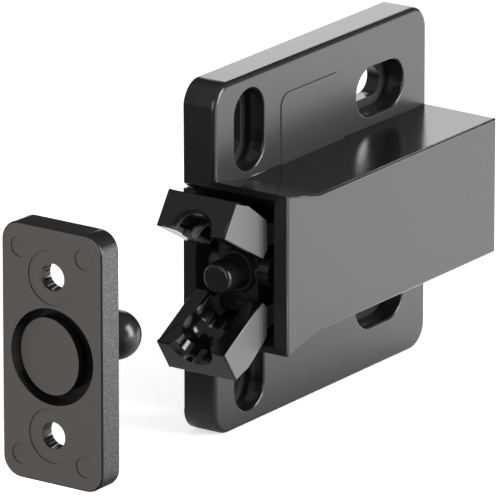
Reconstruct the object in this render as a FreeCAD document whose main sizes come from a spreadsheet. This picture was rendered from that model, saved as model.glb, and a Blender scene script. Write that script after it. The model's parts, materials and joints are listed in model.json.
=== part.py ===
# Touch latch: a push-push catch with two spreading jaws, and the strike that it grips.
#
# Frame, in millimetres: the origin is the middle of the mounting plate's back face.
# +X points out of the mounting plate, +Y runs along the latch from its mouth to its rear,
# and +Z is up. Depths into the latch are measured along +Y from the mouth's plane.
import FreeCAD, Part
import math
import os
import re
import Sketcher

doc = FreeCAD.newDocument("touch_latch")

# Driving dimensions: name, value, what it is.
DIMENSIONS = (
    ("plate_length", 51.5, "mounting plate along Y"),
    ("plate_rise", 0.5, "plate's middle above the latch's axis"),
    ("plate_thickness", 5.2, "mounting plate along X"),
    ("plate_corner", 3.5, "corner radius of the plate"),
    ("plate_edge", 0.7, "rounding round the plate's front face"),
    ("pad_start", 15.7, "depth where the raised field on the plate starts"),
    ("pad_length", 15.2, "raised field along Y"),
    ("pad_margin", 4.7, "raised field's upper edge below the plate's"),
    ("pad_corner", 2.0, "corner radius of the raised field"),
    ("pad_relief", 0.12, "height of the raised field above the plate"),
    ("slot_length", 11.4, "screw slot's counterbore, end to end"),
    ("slot_width", 6.9, "screw slot's counterbore, side to side"),
    ("slot_ledge", 1.3, "ledge that the screw head sits on"),
    ("slot_sink", 3.1, "depth of the counterbore"),
    ("slot_edge", 0.35, "rounding round a counterbore's rim"),
    ("upright_slot_depth", 8.25, "depth of the upright slots' centre line"),
    ("upright_slot_gap", 1.15, "between the box and the upright slots"),
    ("upright_slot_rim", 2.1, "between the upright slots and the plate's edge"),
    ("level_slot_depth", 39.9, "depth of the level slots' centres"),
    ("level_slot_gap", 1.6, "between the box and the level slots"),
    ("box_front", 17.3, "front face of the box above the mounting face"),
    ("box_half", 9.75, "half the height of the box"),
    ("box_rise", 0.6, "box's middle above the plate's middle"),
    ("box_rear_gap", 0.6, "box's rear wall short of the plate's edge"),
    ("box_edge", 0.35, "rounding round the box's front face"),
    ("flare_length", 7.7, "length of the flared mouth"),
    ("flare_up", 1.5, "how far the mouth flares upwards"),
    ("flare_down", 1.8, "how far the mouth flares downwards"),
    ("front_wall", 2.4, "wall of the box on its front side"),
    ("rear_wall", 3.0, "wall of the box at its rear"),
    ("lip_wall", 1.0, "wall of the mouth's upper and lower lips"),
    ("inner_flare", 5.2, "length of the taper inside the mouth"),
    ("cavity_half", 7.4, "half the height of the carriage's bay"),
    ("axis_x", 8.0, "latch axis above the mounting face"),
    ("cover_thickness", 2.0, "back cover"),
    ("cover_half", 10.6, "half the height of the back cover"),
    ("cover_rear_gap", 2.0, "back cover's rear end short of the plate's edge"),
    ("cover_corner", 1.6, "corner radius of the back cover"),
    ("cover_gap", 0.1, "gap between the back cover and its recess"),
    ("ear_radius", 2.3, "radius of the cover's screw ears"),
    ("ear_height", 11.8, "height of the ear screws"),
    ("ear_front_depth", 17.0, "depth of the front pair of ear screws"),
    ("ear_rear_depth", 29.0, "depth of the rear pair of ear screws"),
    ("screw_radius", 1.0, "cover screw's shank"),
    ("screw_length", 4.2, "cover screw, head included"),
    ("screw_head_radius", 1.75, "cover screw's head"),
    ("screw_head_height", 0.9, "cover screw's head"),
    ("screw_head_gap", 0.1, "gap round the screw's head"),
    ("screw_drive_width", 0.5, "driving slot in the screw's head"),
    ("screw_drive_depth", 0.45, "driving slot in the screw's head"),
    ("travel", 10.5, "how far the carriage goes in"),
    ("slide_gap", 0.15, "gap round the carriage in its bay"),
    ("block_start", 8.7, "depth where the carriage's block starts"),
    ("block_end", 26.0, "depth where the carriage's block ends"),
    ("block_edge", 0.5, "chamfer on the carriage's long edges"),
    ("tongue_start", 1.6, "depth of the carriage tongue's front face"),
    ("tongue_half_height", 6.6, "half the height of the carriage's tongue"),
    ("tongue_corner", 1.6, "rounding of the tongue's front corners"),
    ("collar_start", 0.8, "depth of the front of the collar round the plunger"),
    ("collar_wall", 0.9, "collar round the plunger, at its root"),
    ("collar_tip_wall", 0.6, "collar round the plunger, at its front"),
    ("plunger_start", -3.85, "depth of the plunger's face"),
    ("plunger_end", 9.0, "depth of the plunger's rear end"),
    ("plunger_radius", 2.25, "plunger"),
    ("plunger_round", 0.5, "rounding of the plunger's face"),
    ("plunger_travel", 2.6, "how far the plunger goes in"),
    ("plunger_fit", 0.06, "running clearance of the plunger in its bore"),
    ("plunger_bore_end", 13.6, "depth of the plunger's bore"),
    ("plunger_spring_radius", 1.7, "plunger spring, to the middle of its wire"),
    ("plunger_spring_wire", 0.4, "plunger spring's wire"),
    ("plunger_spring_turns", 4, "plunger spring's turns"),
    ("cross_pin_radius", 0.6, "pin across the plunger"),
    ("cross_pin_gap", 0.1, "play of the plunger's slot on its pin"),
    ("boss_depth", 4.2, "depth of the carriage's round bosses"),
    ("boss_radius", 2.7, "carriage's round bosses"),
    ("boss_gap", 0.3, "between the bosses and the jaws"),
    ("pivot_depth", 5.5, "depth of the jaw pins"),
    ("pivot_offset", 4.6, "jaw pins above and below the axis"),
    ("pin_radius", 1.0, "jaw pins"),
    ("pin_fit", 0.05, "running clearance of a jaw on its pin"),
    ("pin_end_gap", 0.25, "jaw pin's ends short of the jaw's sides"),
    ("jaw_open_angle", 30.0, "how far each jaw stands open, in degrees"),
    ("jaw_width", 11.2, "jaw along X"),
    ("jaw_reach", 15.1, "jaw pin to the jaw's tip"),
    ("jaw_gap", 0.1, "closed jaw's face above the axis"),
    ("jaw_tip_lean", 0.3, "how far the tip's outer edge lies back"),
    ("jaw_thickness", 5.3, "jaw at its tip"),
    ("jaw_crown", 5.75, "jaw at its thickest"),
    ("jaw_crown_depth", 3.4, "tip to the thickest place"),
    ("jaw_back_depth", 8.8, "tip to the end of the jaw's back"),
    ("jaw_back_height", 5.2, "jaw at the end of its back"),
    ("jaw_root_depth", 11.2, "tip to the root of the jaw's head"),
    ("jaw_root_height", 1.7, "root of the jaw's head above its face"),
    ("jaw_nick", 0.6, "bevel at the inner root of the jaw's head"),
    ("shoulder", 0.7, "jaw's head beyond its ears, on each side"),
    ("jaw_heel", 1.9, "radius of the ears round the jaw pin"),
    ("jaw_edge", 0.12, "chamfer on the jaw's outer edges"),
    ("jaw_crown_round", 1.6, "rounding of the jaw's back"),
    ("ear_width", 1.5, "jaw's ears along X"),
    ("ear_gap", 0.2, "between the jaw's ears and the carriage's tongue"),
    ("ear_sweep", 6.6, "radius of the gap between the jaw's ears"),
    ("cup_radius", 3.6, "hollow for the ball in each jaw"),
    ("cup_depth", 4.8, "tip to the middle of the hollow"),
    ("root_bore", 3.0, "groove that clears the plunger"),
    ("throat_radius", 2.75, "half-round notch in the jaw's tip"),
    ("throat_mouth_radius", 3.5, "notch at the face of the tip"),
    ("throat_mouth_depth", 1.0, "depth of the notch's countersink"),
    ("lug_depth", 22.0, "depth of the stop lug's front face"),
    ("lug_length", 2.0, "stop lug along Y"),
    ("lug_height", 1.1, "stop lug above the front wall"),
    ("lug_half_width", 1.3, "half the stop lug's height along Z"),
    ("lug_gap", 0.1, "gap between the stop lug and its groove"),
    ("lug_side_gap", 0.3, "gap beside and above the stop lug"),
    ("track_depth", 2.2, "depth of the cam track in the carriage"),
    ("track_half", 2.6, "half the width of the cam track"),
    ("track_start", 11.2, "depth of the cam track's front end"),
    ("island_start", 13.4, "depth of the cam heart's notch"),
    ("island_length", 3.8, "cam heart along Y"),
    ("island_half", 0.7, "half the width of the cam heart"),
    ("island_notch", 0.6, "depth of the notch in the cam heart"),
    ("island_drop", 1.1, "cam heart's top below the carriage's back"),
    ("follower_pivot_depth", 41.0, "depth of the follower's pivot"),
    ("follower_tip_depth", 22.9, "depth of the follower's tip"),
    ("follower_swing", 5.0, "follower's swing each side of the axis, in degrees"),
    ("follower_thickness", 0.8, "follower along X"),
    ("follower_half", 0.7, "half the follower's width"),
    ("follower_eye", 1.8, "radius of the follower's eye"),
    ("follower_tip_radius", 0.6, "follower's tip"),
    ("follower_tip_length", 1.0, "how far the follower's tip stands out"),
    ("follower_lift", 0.1, "gap under the follower"),
    ("pivot_pin_radius", 0.75, "follower's pivot pin"),
    ("pivot_pin_head", 1.3, "radius of the pivot pin's head"),
    ("pivot_pin_head_height", 0.4, "pivot pin's head"),
    ("pivot_pin_seat", 1.2, "how far the pivot pin sits in the cover"),
    ("guide_radius", 1.8, "spring guide's rod"),
    ("guide_flange", 3.1, "spring guide's flange"),
    ("guide_flange_height", 1.0, "spring guide's flange"),
    ("guide_start", 26.4, "depth of the spring guide's front end"),
    ("guide_bore_gap", 0.3, "gap between the spring guide and the carriage"),
    ("guide_bore_length", 10.9, "bore for the spring guide"),
    ("spring_wire", 0.7, "main spring's wire"),
    ("spring_radius", 2.7, "main spring, to the middle of its wire"),
    ("spring_turns", 8, "main spring's turns"),
    ("coil_steps", 14, "straight lengths in each turn of a spring"),
    ("torsion_wire", 0.45, "jaw spring's wire"),
    ("torsion_radius", 1.45, "jaw spring, to the middle of its wire"),
    ("torsion_turns", 2.5, "jaw spring's turns"),
    ("torsion_leg", 1.2, "jaw spring's hook, which sits in the jaw's ear"),
    ("torsion_pocket", 1.9, "radius of the jaw spring's pocket in the tongue"),
    ("torsion_pocket_width", 2.0, "pocket along X"),
    ("strike_width", 16.3, "strike plate along X"),
    ("strike_height", 35.6, "strike plate along Z"),
    ("strike_thickness", 3.95, "strike plate along Y"),
    ("strike_corner", 2.8, "corner radius of the strike plate"),
    ("strike_edge", 0.3, "rounding of the strike plate's edges"),
    ("strike_distance", 42.6, "strike's outer face in front of the mouth"),
    ("strike_side", 0.9, "strike's middle beside the latch axis"),
    ("strike_drop", 0.4, "strike's middle below the latch axis"),
    ("strike_hole", 1.9, "radius of the strike's screw holes"),
    ("strike_hole_spacing", 22.0, "between the strike's screw holes"),
    ("strike_spot", 3.85, "radius of the shallow spot round a screw hole"),
    ("strike_spot_depth", 0.2, "depth of the spots"),
    ("strike_sink", 3.5, "countersink's radius on the inner face"),
    ("dimple_radius", 1.45, "round dimples in the corners"),
    ("dimple_side", 5.2, "dimples beside the strike's middle"),
    ("dimple_height", 14.4, "dimples above and below the strike's middle"),
    ("pocket_radius", 6.7, "pocket for the stud's flange"),
    ("pocket_depth", 2.75, "pocket for the stud's flange"),
    ("neck_hole", 3.6, "hole that the ball stud stands through"),
    ("flange_radius", 5.3, "ball stud's flange"),
    ("flange_thickness", 1.0, "ball stud's flange"),
    ("flange_inset", 1.3, "flange's middle behind the strike's outer face"),
    ("stud_drop", 0.3, "how far the stud hangs below the strike's middle"),
    ("stud_tilt", 8.0, "how far the stud leans in its pocket, in degrees"),
    ("neck_radius", 1.9, "ball stud's neck"),
    ("neck_fillet", 0.8, "cone at the neck's root"),
    ("ball_radius", 3.4, "ball"),
    ("ball_reach", 12.2, "flange's middle to the ball's middle"),
    ("ball_flat", 1.3, "radius of the flat on the ball"),
)

ALIASES = {name for name, _value, _note in DIMENSIONS}
sheet = doc.addObject("Spreadsheet::Sheet", "dims")
for line, (name, value, note) in enumerate(DIMENSIONS, start=1):
    sheet.set(f"A{line}", name)
    sheet.set(f"B{line}", str(value))
    sheet.set(f"C{line}", note)
    sheet.setAlias(f"B{line}", name)
doc.recompute()

# Places that several pieces share, written with the sheet's names.
MOUTH = "(0 - plate_length / 2)"
REAR = "(plate_length / 2)"
BOX_TOP = "(plate_rise + box_rise + box_half)"
BOX_BOTTOM = "(plate_rise + box_rise - box_half)"
UPRIGHT_SLOT = "(box_rise + box_half + upright_slot_gap + slot_length / 2)"
LEVEL_SLOT = "(box_rise + box_half + level_slot_gap + slot_width / 2)"
PLATE_HALF = f"({UPRIGHT_SLOT} + slot_length / 2 + upright_slot_rim)"
PAD_TOP = f"(plate_rise + {PLATE_HALF} - pad_margin)"
EAR_SIDE = "(axis_x - jaw_width / 2 + shoulder)"
EARS_WIDTH = "(jaw_width - 2 * shoulder)"
TONGUE_HALF = f"({EARS_WIDTH} / 2 - ear_width - ear_gap)"
TONGUE_SIDE = f"(axis_x - {TONGUE_HALF})"
BOX_END = f"({REAR} - box_rear_gap)"
BAY_FRONT = "(box_front - front_wall)"
BAY_END = f"({BOX_END} - rear_wall)"
CARRIAGE_BACK = "(cover_thickness + slide_gap)"
PIVOT_Y = f"({MOUTH} + pivot_depth)"
FOLLOWER_BACK = "(cover_thickness + follower_lift)"
FOLLOWER_REACH = "(follower_pivot_depth - follower_tip_depth)"
STRIKE_X = "(axis_x + strike_side)"
STRIKE_Y = f"({MOUTH} - strike_distance)"
STRIKE_Z = "(0 - strike_drop)"

X_AXIS = FreeCAD.Vector(1, 0, 0)
Y_AXIS = FreeCAD.Vector(0, 1, 0)
Z_AXIS = FreeCAD.Vector(0, 0, 1)
CLOSE = 1e-4


def formula(text):
    """Write an expression on the sheet's names as FreeCAD reads it."""
    def qualify(match):
        word = match.group(0)
        return f"dims.{word}" if word in ALIASES else word
    return re.sub(r"[a-z][a-z0-9_]*", qualify, text)


def number(text):
    """Work out an expression on the sheet's names, in millimetres or degrees."""
    value = sheet.evalExpression(formula(text))
    return float(getattr(value, "Value", value))


def depth(text):
    """Y of a depth measured from the mouth."""
    return f"({MOUTH} + {text})"


def bind(feature, **expressions):
    """Tie properties to the sheet. A double underscore stands for a dot."""
    for key, text in expressions.items():
        feature.setExpression(key.replace("__", "."), formula(text))


def new_body(name):
    """Start a body whose label names its file."""
    body = doc.addObject("PartDesign::Body", name)
    body.Label = name
    return body


def new_sketch(body, name, plane, offset="0", aside="0"):
    """Add a sketch on one of the body's own origin planes, moved along its normal and aside."""
    sketch = body.newObject("Sketcher::SketchObject", name)
    support = next(item for item in body.Origin.OriginFeatures if item.Role == plane)
    sketch.AttachmentSupport = [(support, "")]
    sketch.MapMode = "FlatFace"
    sketch.setExpression(".AttachmentOffset.Base.x", formula(aside))
    sketch.setExpression(".AttachmentOffset.Base.z", formula(offset))
    return sketch


def place_point(sketch, geometry, point, across, up):
    """Hold a point of the sketch at two distances from its origin."""
    for kind, text in (("DistanceX", across), ("DistanceY", up)):
        index = sketch.addConstraint(
            Sketcher.Constraint(kind, -1, 1, geometry, point, number(text)))
        sketch.setExpression(f"Constraints[{index}]", formula(text))


def draw_polygon(sketch, corners):
    """Draw a closed outline through corners given as pairs of expressions."""
    points = [FreeCAD.Vector(number(across), number(up), 0) for across, up in corners]
    lines = []
    for start, end in zip(points, points[1:] + points[:1]):
        lines.append(sketch.addGeometry(Part.LineSegment(start, end), False))
    for line, following in zip(lines, lines[1:] + lines[:1]):
        sketch.addConstraint(Sketcher.Constraint("Coincident", line, 2, following, 1))
    for line, (across, up) in zip(lines, corners):
        place_point(sketch, line, 1, across, up)


def draw_rectangle(sketch, left, right, low, high):
    """Draw an upright rectangle."""
    draw_polygon(sketch, [(left, low), (right, low), (right, high), (left, high)])


def draw_circle(sketch, across, up, radius):
    """Draw a circle."""
    middle = FreeCAD.Vector(number(across), number(up), 0)
    circle = sketch.addGeometry(Part.Circle(middle, FreeCAD.Vector(0, 0, 1), number(radius)), False)
    place_point(sketch, circle, 3, across, up)
    index = sketch.addConstraint(Sketcher.Constraint("Radius", circle, number(radius)))
    sketch.setExpression(f"Constraints[{index}]", formula(radius))


def draw_obround(sketch, across, up, length, width, upright):
    """Draw a slot's outline: two half circles joined by straight sides."""
    half = number(f"({length} - {width}) / 2")
    radius = number(f"{width} / 2")
    middle = FreeCAD.Vector(number(across), number(up), 0)
    along = FreeCAD.Vector(0, 1, 0) if upright else FreeCAD.Vector(1, 0, 0)
    side = FreeCAD.Vector(-1, 0, 0) if upright else FreeCAD.Vector(0, 1, 0)
    far, near = middle + along * half, middle - along * half
    arcs = []
    for centre, outward in ((far, along), (near, -along)):
        turn = side if outward == along else -side
        arc = Part.Arc(centre - turn * radius, centre + outward * radius, centre + turn * radius)
        arcs.append(sketch.addGeometry(arc, False))
    sides = [
        sketch.addGeometry(Part.LineSegment(far + side * radius, near + side * radius), False),
        sketch.addGeometry(Part.LineSegment(near - side * radius, far - side * radius), False),
    ]
    sketch.addConstraint(Sketcher.Constraint("Tangent", arcs[0], 2, sides[0], 1))
    sketch.addConstraint(Sketcher.Constraint("Tangent", sides[0], 2, arcs[1], 1))
    sketch.addConstraint(Sketcher.Constraint("Tangent", arcs[1], 2, sides[1], 1))
    sketch.addConstraint(Sketcher.Constraint("Tangent", sides[1], 2, arcs[0], 1))
    index = sketch.addConstraint(Sketcher.Constraint("Radius", arcs[0], radius))
    sketch.setExpression(f"Constraints[{index}]", formula(f"{width} / 2"))
    shift = f"({length} - {width}) / 2"
    if upright:
        place_point(sketch, arcs[0], 3, across, f"{up} + {shift}")
        place_point(sketch, arcs[1], 3, across, f"{up} - {shift}")
    else:
        place_point(sketch, arcs[0], 3, f"{across} + {shift}", up)
        place_point(sketch, arcs[1], 3, f"{across} - {shift}", up)


def sweep(body, kind, name, sketch, length, backwards):
    """Pad or pocket a sketch by a length, and show that it changed the solid."""
    feature = body.newObject(kind, name)
    feature.Profile = sketch
    feature.Type = "Length"
    feature.Reversed = backwards
    bind(feature, Length=length)
    before = body.Shape.Volume if len(body.Group) > 2 else 0.0
    doc.recompute()
    if abs(feature.Shape.Volume - before) < CLOSE:
        raise RuntimeError(f"{name} changes nothing")
    return feature


def pad(body, name, sketch, length, backwards=False):
    """Add material."""
    return sweep(body, "PartDesign::Pad", name, sketch, length, backwards)


def pocket(body, name, sketch, length, backwards=False):
    """Take material away."""
    return sweep(body, "PartDesign::Pocket", name, sketch, length, backwards)


def turn(body, kind, name, sketch):
    """Add or take away the solid that a sketch makes about its own upright axis."""
    feature = body.newObject(kind, name)
    feature.Profile = sketch
    feature.ReferenceAxis = (sketch, ["V_Axis"])
    feature.Angle = 360.0
    before = body.Shape.Volume if len(body.Group) > 2 else 0.0
    doc.recompute()
    if abs(feature.Shape.Volume - before) < CLOSE:
        raise RuntimeError(f"{name} changes nothing")
    return feature


def soften(body, kind, name, size, chosen):
    """Fillet or chamfer the edges of the tip that a test picks by their middle and direction."""
    base = body.Tip
    names = []
    for index, edge in enumerate(base.Shape.Edges, start=1):
        box = edge.BoundBox
        if chosen(edge, box):
            names.append(f"Edge{index}")
    if not names:
        raise RuntimeError(f"{name} finds no edge")
    feature = body.newObject(kind, name)
    feature.Base = (base, names)
    bind(feature, **{"Radius" if kind.endswith("Fillet") else "Size": size})
    doc.recompute()
    return feature


def fillet(body, name, size, chosen):
    """Round edges."""
    return soften(body, "PartDesign::Fillet", name, size, chosen)


def chamfer(body, name, size, chosen):
    """Bevel edges."""
    return soften(body, "PartDesign::Chamfer", name, size, chosen)


def near(value, text):
    """Whether a coordinate lies at a place given by an expression."""
    return abs(value - number(text)) < 1e-3


def runs_along_x(box):
    """Whether an edge is parallel to X."""
    return box.XLength > CLOSE and box.YLength < CLOSE and box.ZLength < CLOSE


def screw_slots():
    """The four screw slots of the mounting plate: depth, height, upright or level."""
    for sign in ("+", "-"):
        yield "upright_slot_depth", f"(plate_rise {sign} {UPRIGHT_SLOT})", True
        yield "level_slot_depth", f"(plate_rise {sign} {LEVEL_SLOT})", False


def ear_screws():
    """The four screws that hold the back cover: depth and height."""
    for at_depth in ("ear_front_depth", "ear_rear_depth"):
        for height_sign in ("", "0 - "):
            yield at_depth, f"({height_sign}ear_height)"


def cover_outline(body, name, gap):
    """The back cover's outline without its ears, grown by a gap except at the mouth."""
    sketch = new_sketch(body, name, "YZ_Plane")
    draw_rectangle(sketch, MOUTH, f"{REAR} - cover_rear_gap + {gap}",
                   f"0 - cover_half - {gap}", f"cover_half + {gap}")
    return sketch


def make_housing():
    """Mounting plate and box, moulded as one and open at the back."""
    body = new_body("housing")
    sketch = new_sketch(body, "plate_outline", "YZ_Plane")
    draw_rectangle(sketch, MOUTH, REAR, f"plate_rise - {PLATE_HALF}", f"plate_rise + {PLATE_HALF}")
    pad(body, "plate", sketch, "plate_thickness")
    fillet(body, "plate_corners", "plate_corner", lambda edge, box: runs_along_x(box))
    fillet(body, "plate_rim", "plate_edge",
           lambda edge, box: near(box.XMin, "plate_thickness") and near(box.XMax, "plate_thickness"))

    field = new_sketch(body, "field_outline", "YZ_Plane")
    draw_rectangle(field, depth("pad_start"), depth("(pad_start + pad_length)"), "0", PAD_TOP)
    pad(body, "field", field, "plate_thickness + pad_relief")
    fillet(body, "field_corners", "pad_corner",
           lambda edge, box: runs_along_x(box) and near(box.ZMin, PAD_TOP))

    sketch = new_sketch(body, "box_outline", "YZ_Plane")
    draw_polygon(sketch, [
        (MOUTH, f"{BOX_BOTTOM} - flare_down"),
        (depth("flare_length"), BOX_BOTTOM),
        (BOX_END, BOX_BOTTOM),
        (BOX_END, BOX_TOP),
        (depth("flare_length"), BOX_TOP),
        (MOUTH, f"{BOX_TOP} + flare_up"),
    ])
    pad(body, "box", sketch, "box_front")
    fillet(body, "box_rim", "box_edge",
           lambda edge, box: near(box.XMin, "box_front") and near(box.XMax, "box_front"))

    sketch = new_sketch(body, "bay_outline", "YZ_Plane")
    draw_polygon(sketch, [
        (MOUTH, f"{BOX_BOTTOM} - flare_down + lip_wall"),
        (depth("inner_flare"), "0 - cavity_half"),
        (BAY_END, "0 - cavity_half"),
        (BAY_END, "cavity_half"),
        (depth("inner_flare"), "cavity_half"),
        (MOUTH, f"{BOX_TOP} + flare_up - lip_wall"),
    ])
    pocket(body, "bay", sketch, BAY_FRONT, backwards=True)
    pocket(body, "cover_recess", cover_outline(body, "recess_outline", "cover_gap"),
           "cover_thickness", backwards=True)
    for place, (at_depth, height) in enumerate(ear_screws(), start=1):
        sketch = new_sketch(body, f"ear_recess_outline_{place}", "YZ_Plane")
        draw_circle(sketch, depth(at_depth), height, "ear_radius + cover_gap")
        pocket(body, f"ear_recess_{place}", sketch, "cover_thickness", backwards=True)
        sketch = new_sketch(body, f"ear_bore_outline_{place}", "YZ_Plane")
        draw_circle(sketch, depth(at_depth), height, "screw_radius")
        pocket(body, f"ear_bore_{place}", sketch, "screw_length", backwards=True)

    for place, (at_depth, height, upright) in enumerate(screw_slots(), start=1):
        sketch = new_sketch(body, f"slot_outline_{place}", "YZ_Plane")
        draw_obround(sketch, depth(at_depth), height, "(slot_length - 2 * slot_ledge)",
                     "(slot_width - 2 * slot_ledge)", upright)
        pocket(body, f"slot_{place}", sketch, "plate_thickness", backwards=True)
        sketch = new_sketch(body, f"sink_outline_{place}", "YZ_Plane", "plate_thickness - slot_sink")
        draw_obround(sketch, depth(at_depth), height, "slot_length", "slot_width", upright)
        pocket(body, f"sink_{place}", sketch, "slot_sink", backwards=True)
    fillet(body, "slot_rims", "slot_edge", is_slot_rim)

    sketch = new_sketch(body, "lug_outline", "YZ_Plane", f"{BAY_FRONT} - lug_height")
    draw_rectangle(sketch, depth("lug_depth"), depth("(lug_depth + lug_length)"),
                   "0 - lug_half_width", "lug_half_width")
    pad(body, "stop_lug", sketch, "lug_height")
    return body


def is_slot_rim(edge, box):
    """Whether an edge of the plate's front face belongs to a counterbore."""
    if not (near(box.XMin, "plate_thickness") and near(box.XMax, "plate_thickness")):
        return False
    for at_depth, height, upright in screw_slots():
        across, up = number(depth(at_depth)), number(height)
        reach_y = number("slot_width" if upright else "slot_length") / 2 + CLOSE
        reach_z = number("slot_length" if upright else "slot_width") / 2 + CLOSE
        inside_y = across - reach_y <= box.YMin and box.YMax <= across + reach_y
        inside_z = up - reach_z <= box.ZMin and box.ZMax <= up + reach_z
        if inside_y and inside_z:
            return True
    return False


def make_back_cover():
    """Flat lid that closes the box from behind, with four screw ears."""
    body = new_body("back_cover")
    pad(body, "lid", cover_outline(body, "lid_outline", "0"), "cover_thickness")
    fillet(body, "lid_corners", "cover_corner",
           lambda edge, box: runs_along_x(box) and near(box.YMin, f"{REAR} - cover_rear_gap"))
    for place, (at_depth, height) in enumerate(ear_screws(), start=1):
        sketch = new_sketch(body, f"ear_outline_{place}", "YZ_Plane")
        draw_circle(sketch, depth(at_depth), height, "ear_radius")
        pad(body, f"ear_{place}", sketch, "cover_thickness")
    for place, (at_depth, height) in enumerate(ear_screws(), start=1):
        sketch = new_sketch(body, f"hole_outline_{place}", "YZ_Plane")
        draw_circle(sketch, depth(at_depth), height, "screw_radius")
        pocket(body, f"hole_{place}", sketch, "cover_thickness", backwards=True)
        sketch = new_sketch(body, f"head_outline_{place}", "YZ_Plane")
        draw_circle(sketch, depth(at_depth), height, "screw_head_radius + screw_head_gap")
        pocket(body, f"head_seat_{place}", sketch, "screw_head_height", backwards=True)
    sketch = new_sketch(body, "pivot_hole_outline", "YZ_Plane", "cover_thickness - pivot_pin_seat")
    draw_circle(sketch, depth("follower_pivot_depth"), "0", "pivot_pin_radius")
    pocket(body, "pivot_hole", sketch, "pivot_pin_seat", backwards=True)
    return body


def make_cover_screw(place, at_depth, height):
    """Small screw with a slotted cheese head, put in from behind."""
    body = new_body(f"cover_screw_{place}")
    sketch = new_sketch(body, f"shank_outline_{place}", "YZ_Plane")
    draw_circle(sketch, "0", "0", "screw_radius")
    pad(body, f"shank_{place}", sketch, "screw_length")
    sketch = new_sketch(body, f"cheese_outline_{place}", "YZ_Plane")
    draw_circle(sketch, "0", "0", "screw_head_radius")
    pad(body, f"cheese_{place}", sketch, "screw_head_height")
    sketch = new_sketch(body, f"drive_outline_{place}", "YZ_Plane")
    draw_rectangle(sketch, "0 - screw_head_radius - 1", "screw_head_radius + 1",
                   "0 - screw_drive_width / 2", "screw_drive_width / 2")
    pocket(body, f"drive_{place}", sketch, "screw_drive_depth", backwards=True)
    bind(body, Placement__Base__y=depth(at_depth), Placement__Base__z=height)
    return body


def make_carriage():
    """Sliding block with the tongue that carries the jaws, and the cam track behind."""
    body = new_body("carriage")
    sketch = new_sketch(body, "block_outline", "YZ_Plane", CARRIAGE_BACK)
    draw_rectangle(sketch, depth("block_start"), depth("block_end"),
                   "0 - cavity_half + slide_gap", "cavity_half - slide_gap")
    pad(body, "block", sketch, f"{BAY_FRONT} - cover_thickness - 2 * slide_gap")
    chamfer(body, "block_edges", "block_edge",
            lambda edge, box: box.YLength > CLOSE and box.XLength < CLOSE and box.ZLength < CLOSE)

    sketch = new_sketch(body, "tongue_outline", "YZ_Plane", TONGUE_SIDE)
    draw_rectangle(sketch, depth("tongue_start"), depth("(block_start + 1)"),
                   "0 - tongue_half_height", "tongue_half_height")
    pad(body, "tongue", sketch, f"2 * {TONGUE_HALF}")
    fillet(body, "tongue_corners", "tongue_corner",
           lambda edge, box: runs_along_x(box) and near(box.YMin, depth("tongue_start")))

    sketch = new_sketch(body, "boss_outline", "YZ_Plane", EAR_SIDE)
    draw_circle(sketch, depth("boss_depth"), "0", "boss_radius")
    pad(body, "bosses", sketch, EARS_WIDTH)
    sketch = new_sketch(body, "cross_pin_outline", "YZ_Plane")
    draw_circle(sketch, depth("boss_depth"), "0", "cross_pin_radius")
    pocket(body, "cross_pin_hole", sketch, "box_front", backwards=True)

    for side, sign in (("upper", ""), ("lower", "0 - ")):
        height = f"{sign}pivot_offset"
        sketch = new_sketch(body, f"{side}_pin_hole_outline", "YZ_Plane")
        draw_circle(sketch, PIVOT_Y, height, "pin_radius")
        pocket(body, f"{side}_pin_hole", sketch, "box_front", backwards=True)
        sketch = new_sketch(body, f"{side}_spring_pocket_outline", "YZ_Plane", TONGUE_SIDE)
        draw_circle(sketch, PIVOT_Y, height, "torsion_pocket")
        pocket(body, f"{side}_spring_pocket", sketch, "torsion_pocket_width", backwards=True)

    collar = new_sketch(body, "collar_profile", "XY_Plane", aside="axis_x")
    draw_polygon(collar, [
        ("0", depth("collar_start")),
        ("plunger_radius + collar_tip_wall", depth("collar_start")),
        ("plunger_radius + collar_wall", depth("tongue_start")),
        ("plunger_radius + collar_wall", depth("(tongue_start + 0.5)")),
        ("0", depth("(tongue_start + 0.5)")),
    ])
    turn(body, "PartDesign::Revolution", "collar", collar)
    seat = new_sketch(body, "plunger_bore_profile", "XY_Plane", aside="axis_x")
    draw_polygon(seat, [
        ("0", depth("(collar_start - 1)")),
        ("plunger_radius + plunger_fit", depth("(collar_start - 1)")),
        ("plunger_radius + plunger_fit", depth("plunger_bore_end")),
        ("0", depth("plunger_bore_end")),
    ])
    turn(body, "PartDesign::Groove", "plunger_bore", seat)
    bore = new_sketch(body, "guide_bore_profile", "XY_Plane", aside="axis_x")
    draw_polygon(bore, [
        ("0", depth("(block_end - guide_bore_length)")),
        ("guide_radius + guide_bore_gap", depth("(block_end - guide_bore_length)")),
        ("guide_radius + guide_bore_gap", depth("(block_end + 1)")),
        ("0", depth("(block_end + 1)")),
    ])
    turn(body, "PartDesign::Groove", "guide_bore", bore)

    sketch = new_sketch(body, "track_outline", "YZ_Plane", CARRIAGE_BACK)
    draw_rectangle(sketch, depth("track_start"), depth("(block_end + 1)"),
                   "0 - track_half", "track_half")
    pocket(body, "track", sketch, "track_depth", backwards=True)
    sketch = new_sketch(body, "heart_outline", "YZ_Plane", f"{CARRIAGE_BACK} + island_drop")
    draw_polygon(sketch, [
        (depth("(island_start + island_notch)"), "0"),
        (depth("island_start"), "0 - island_half"),
        (depth("(island_start + island_length)"), "0"),
        (depth("island_start"), "island_half"),
    ])
    pad(body, "heart", sketch, "track_depth - island_drop")

    sketch = new_sketch(body, "lug_groove_outline", "YZ_Plane",
                        f"{BAY_FRONT} - lug_height - lug_side_gap")
    draw_rectangle(sketch, depth("(lug_depth - travel - lug_gap)"),
                   depth("(lug_depth + lug_length + lug_gap)"),
                   "0 - lug_half_width - lug_side_gap", "lug_half_width + lug_side_gap")
    pocket(body, "lug_groove", sketch, "lug_height + lug_side_gap", backwards=True)
    return body


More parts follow.
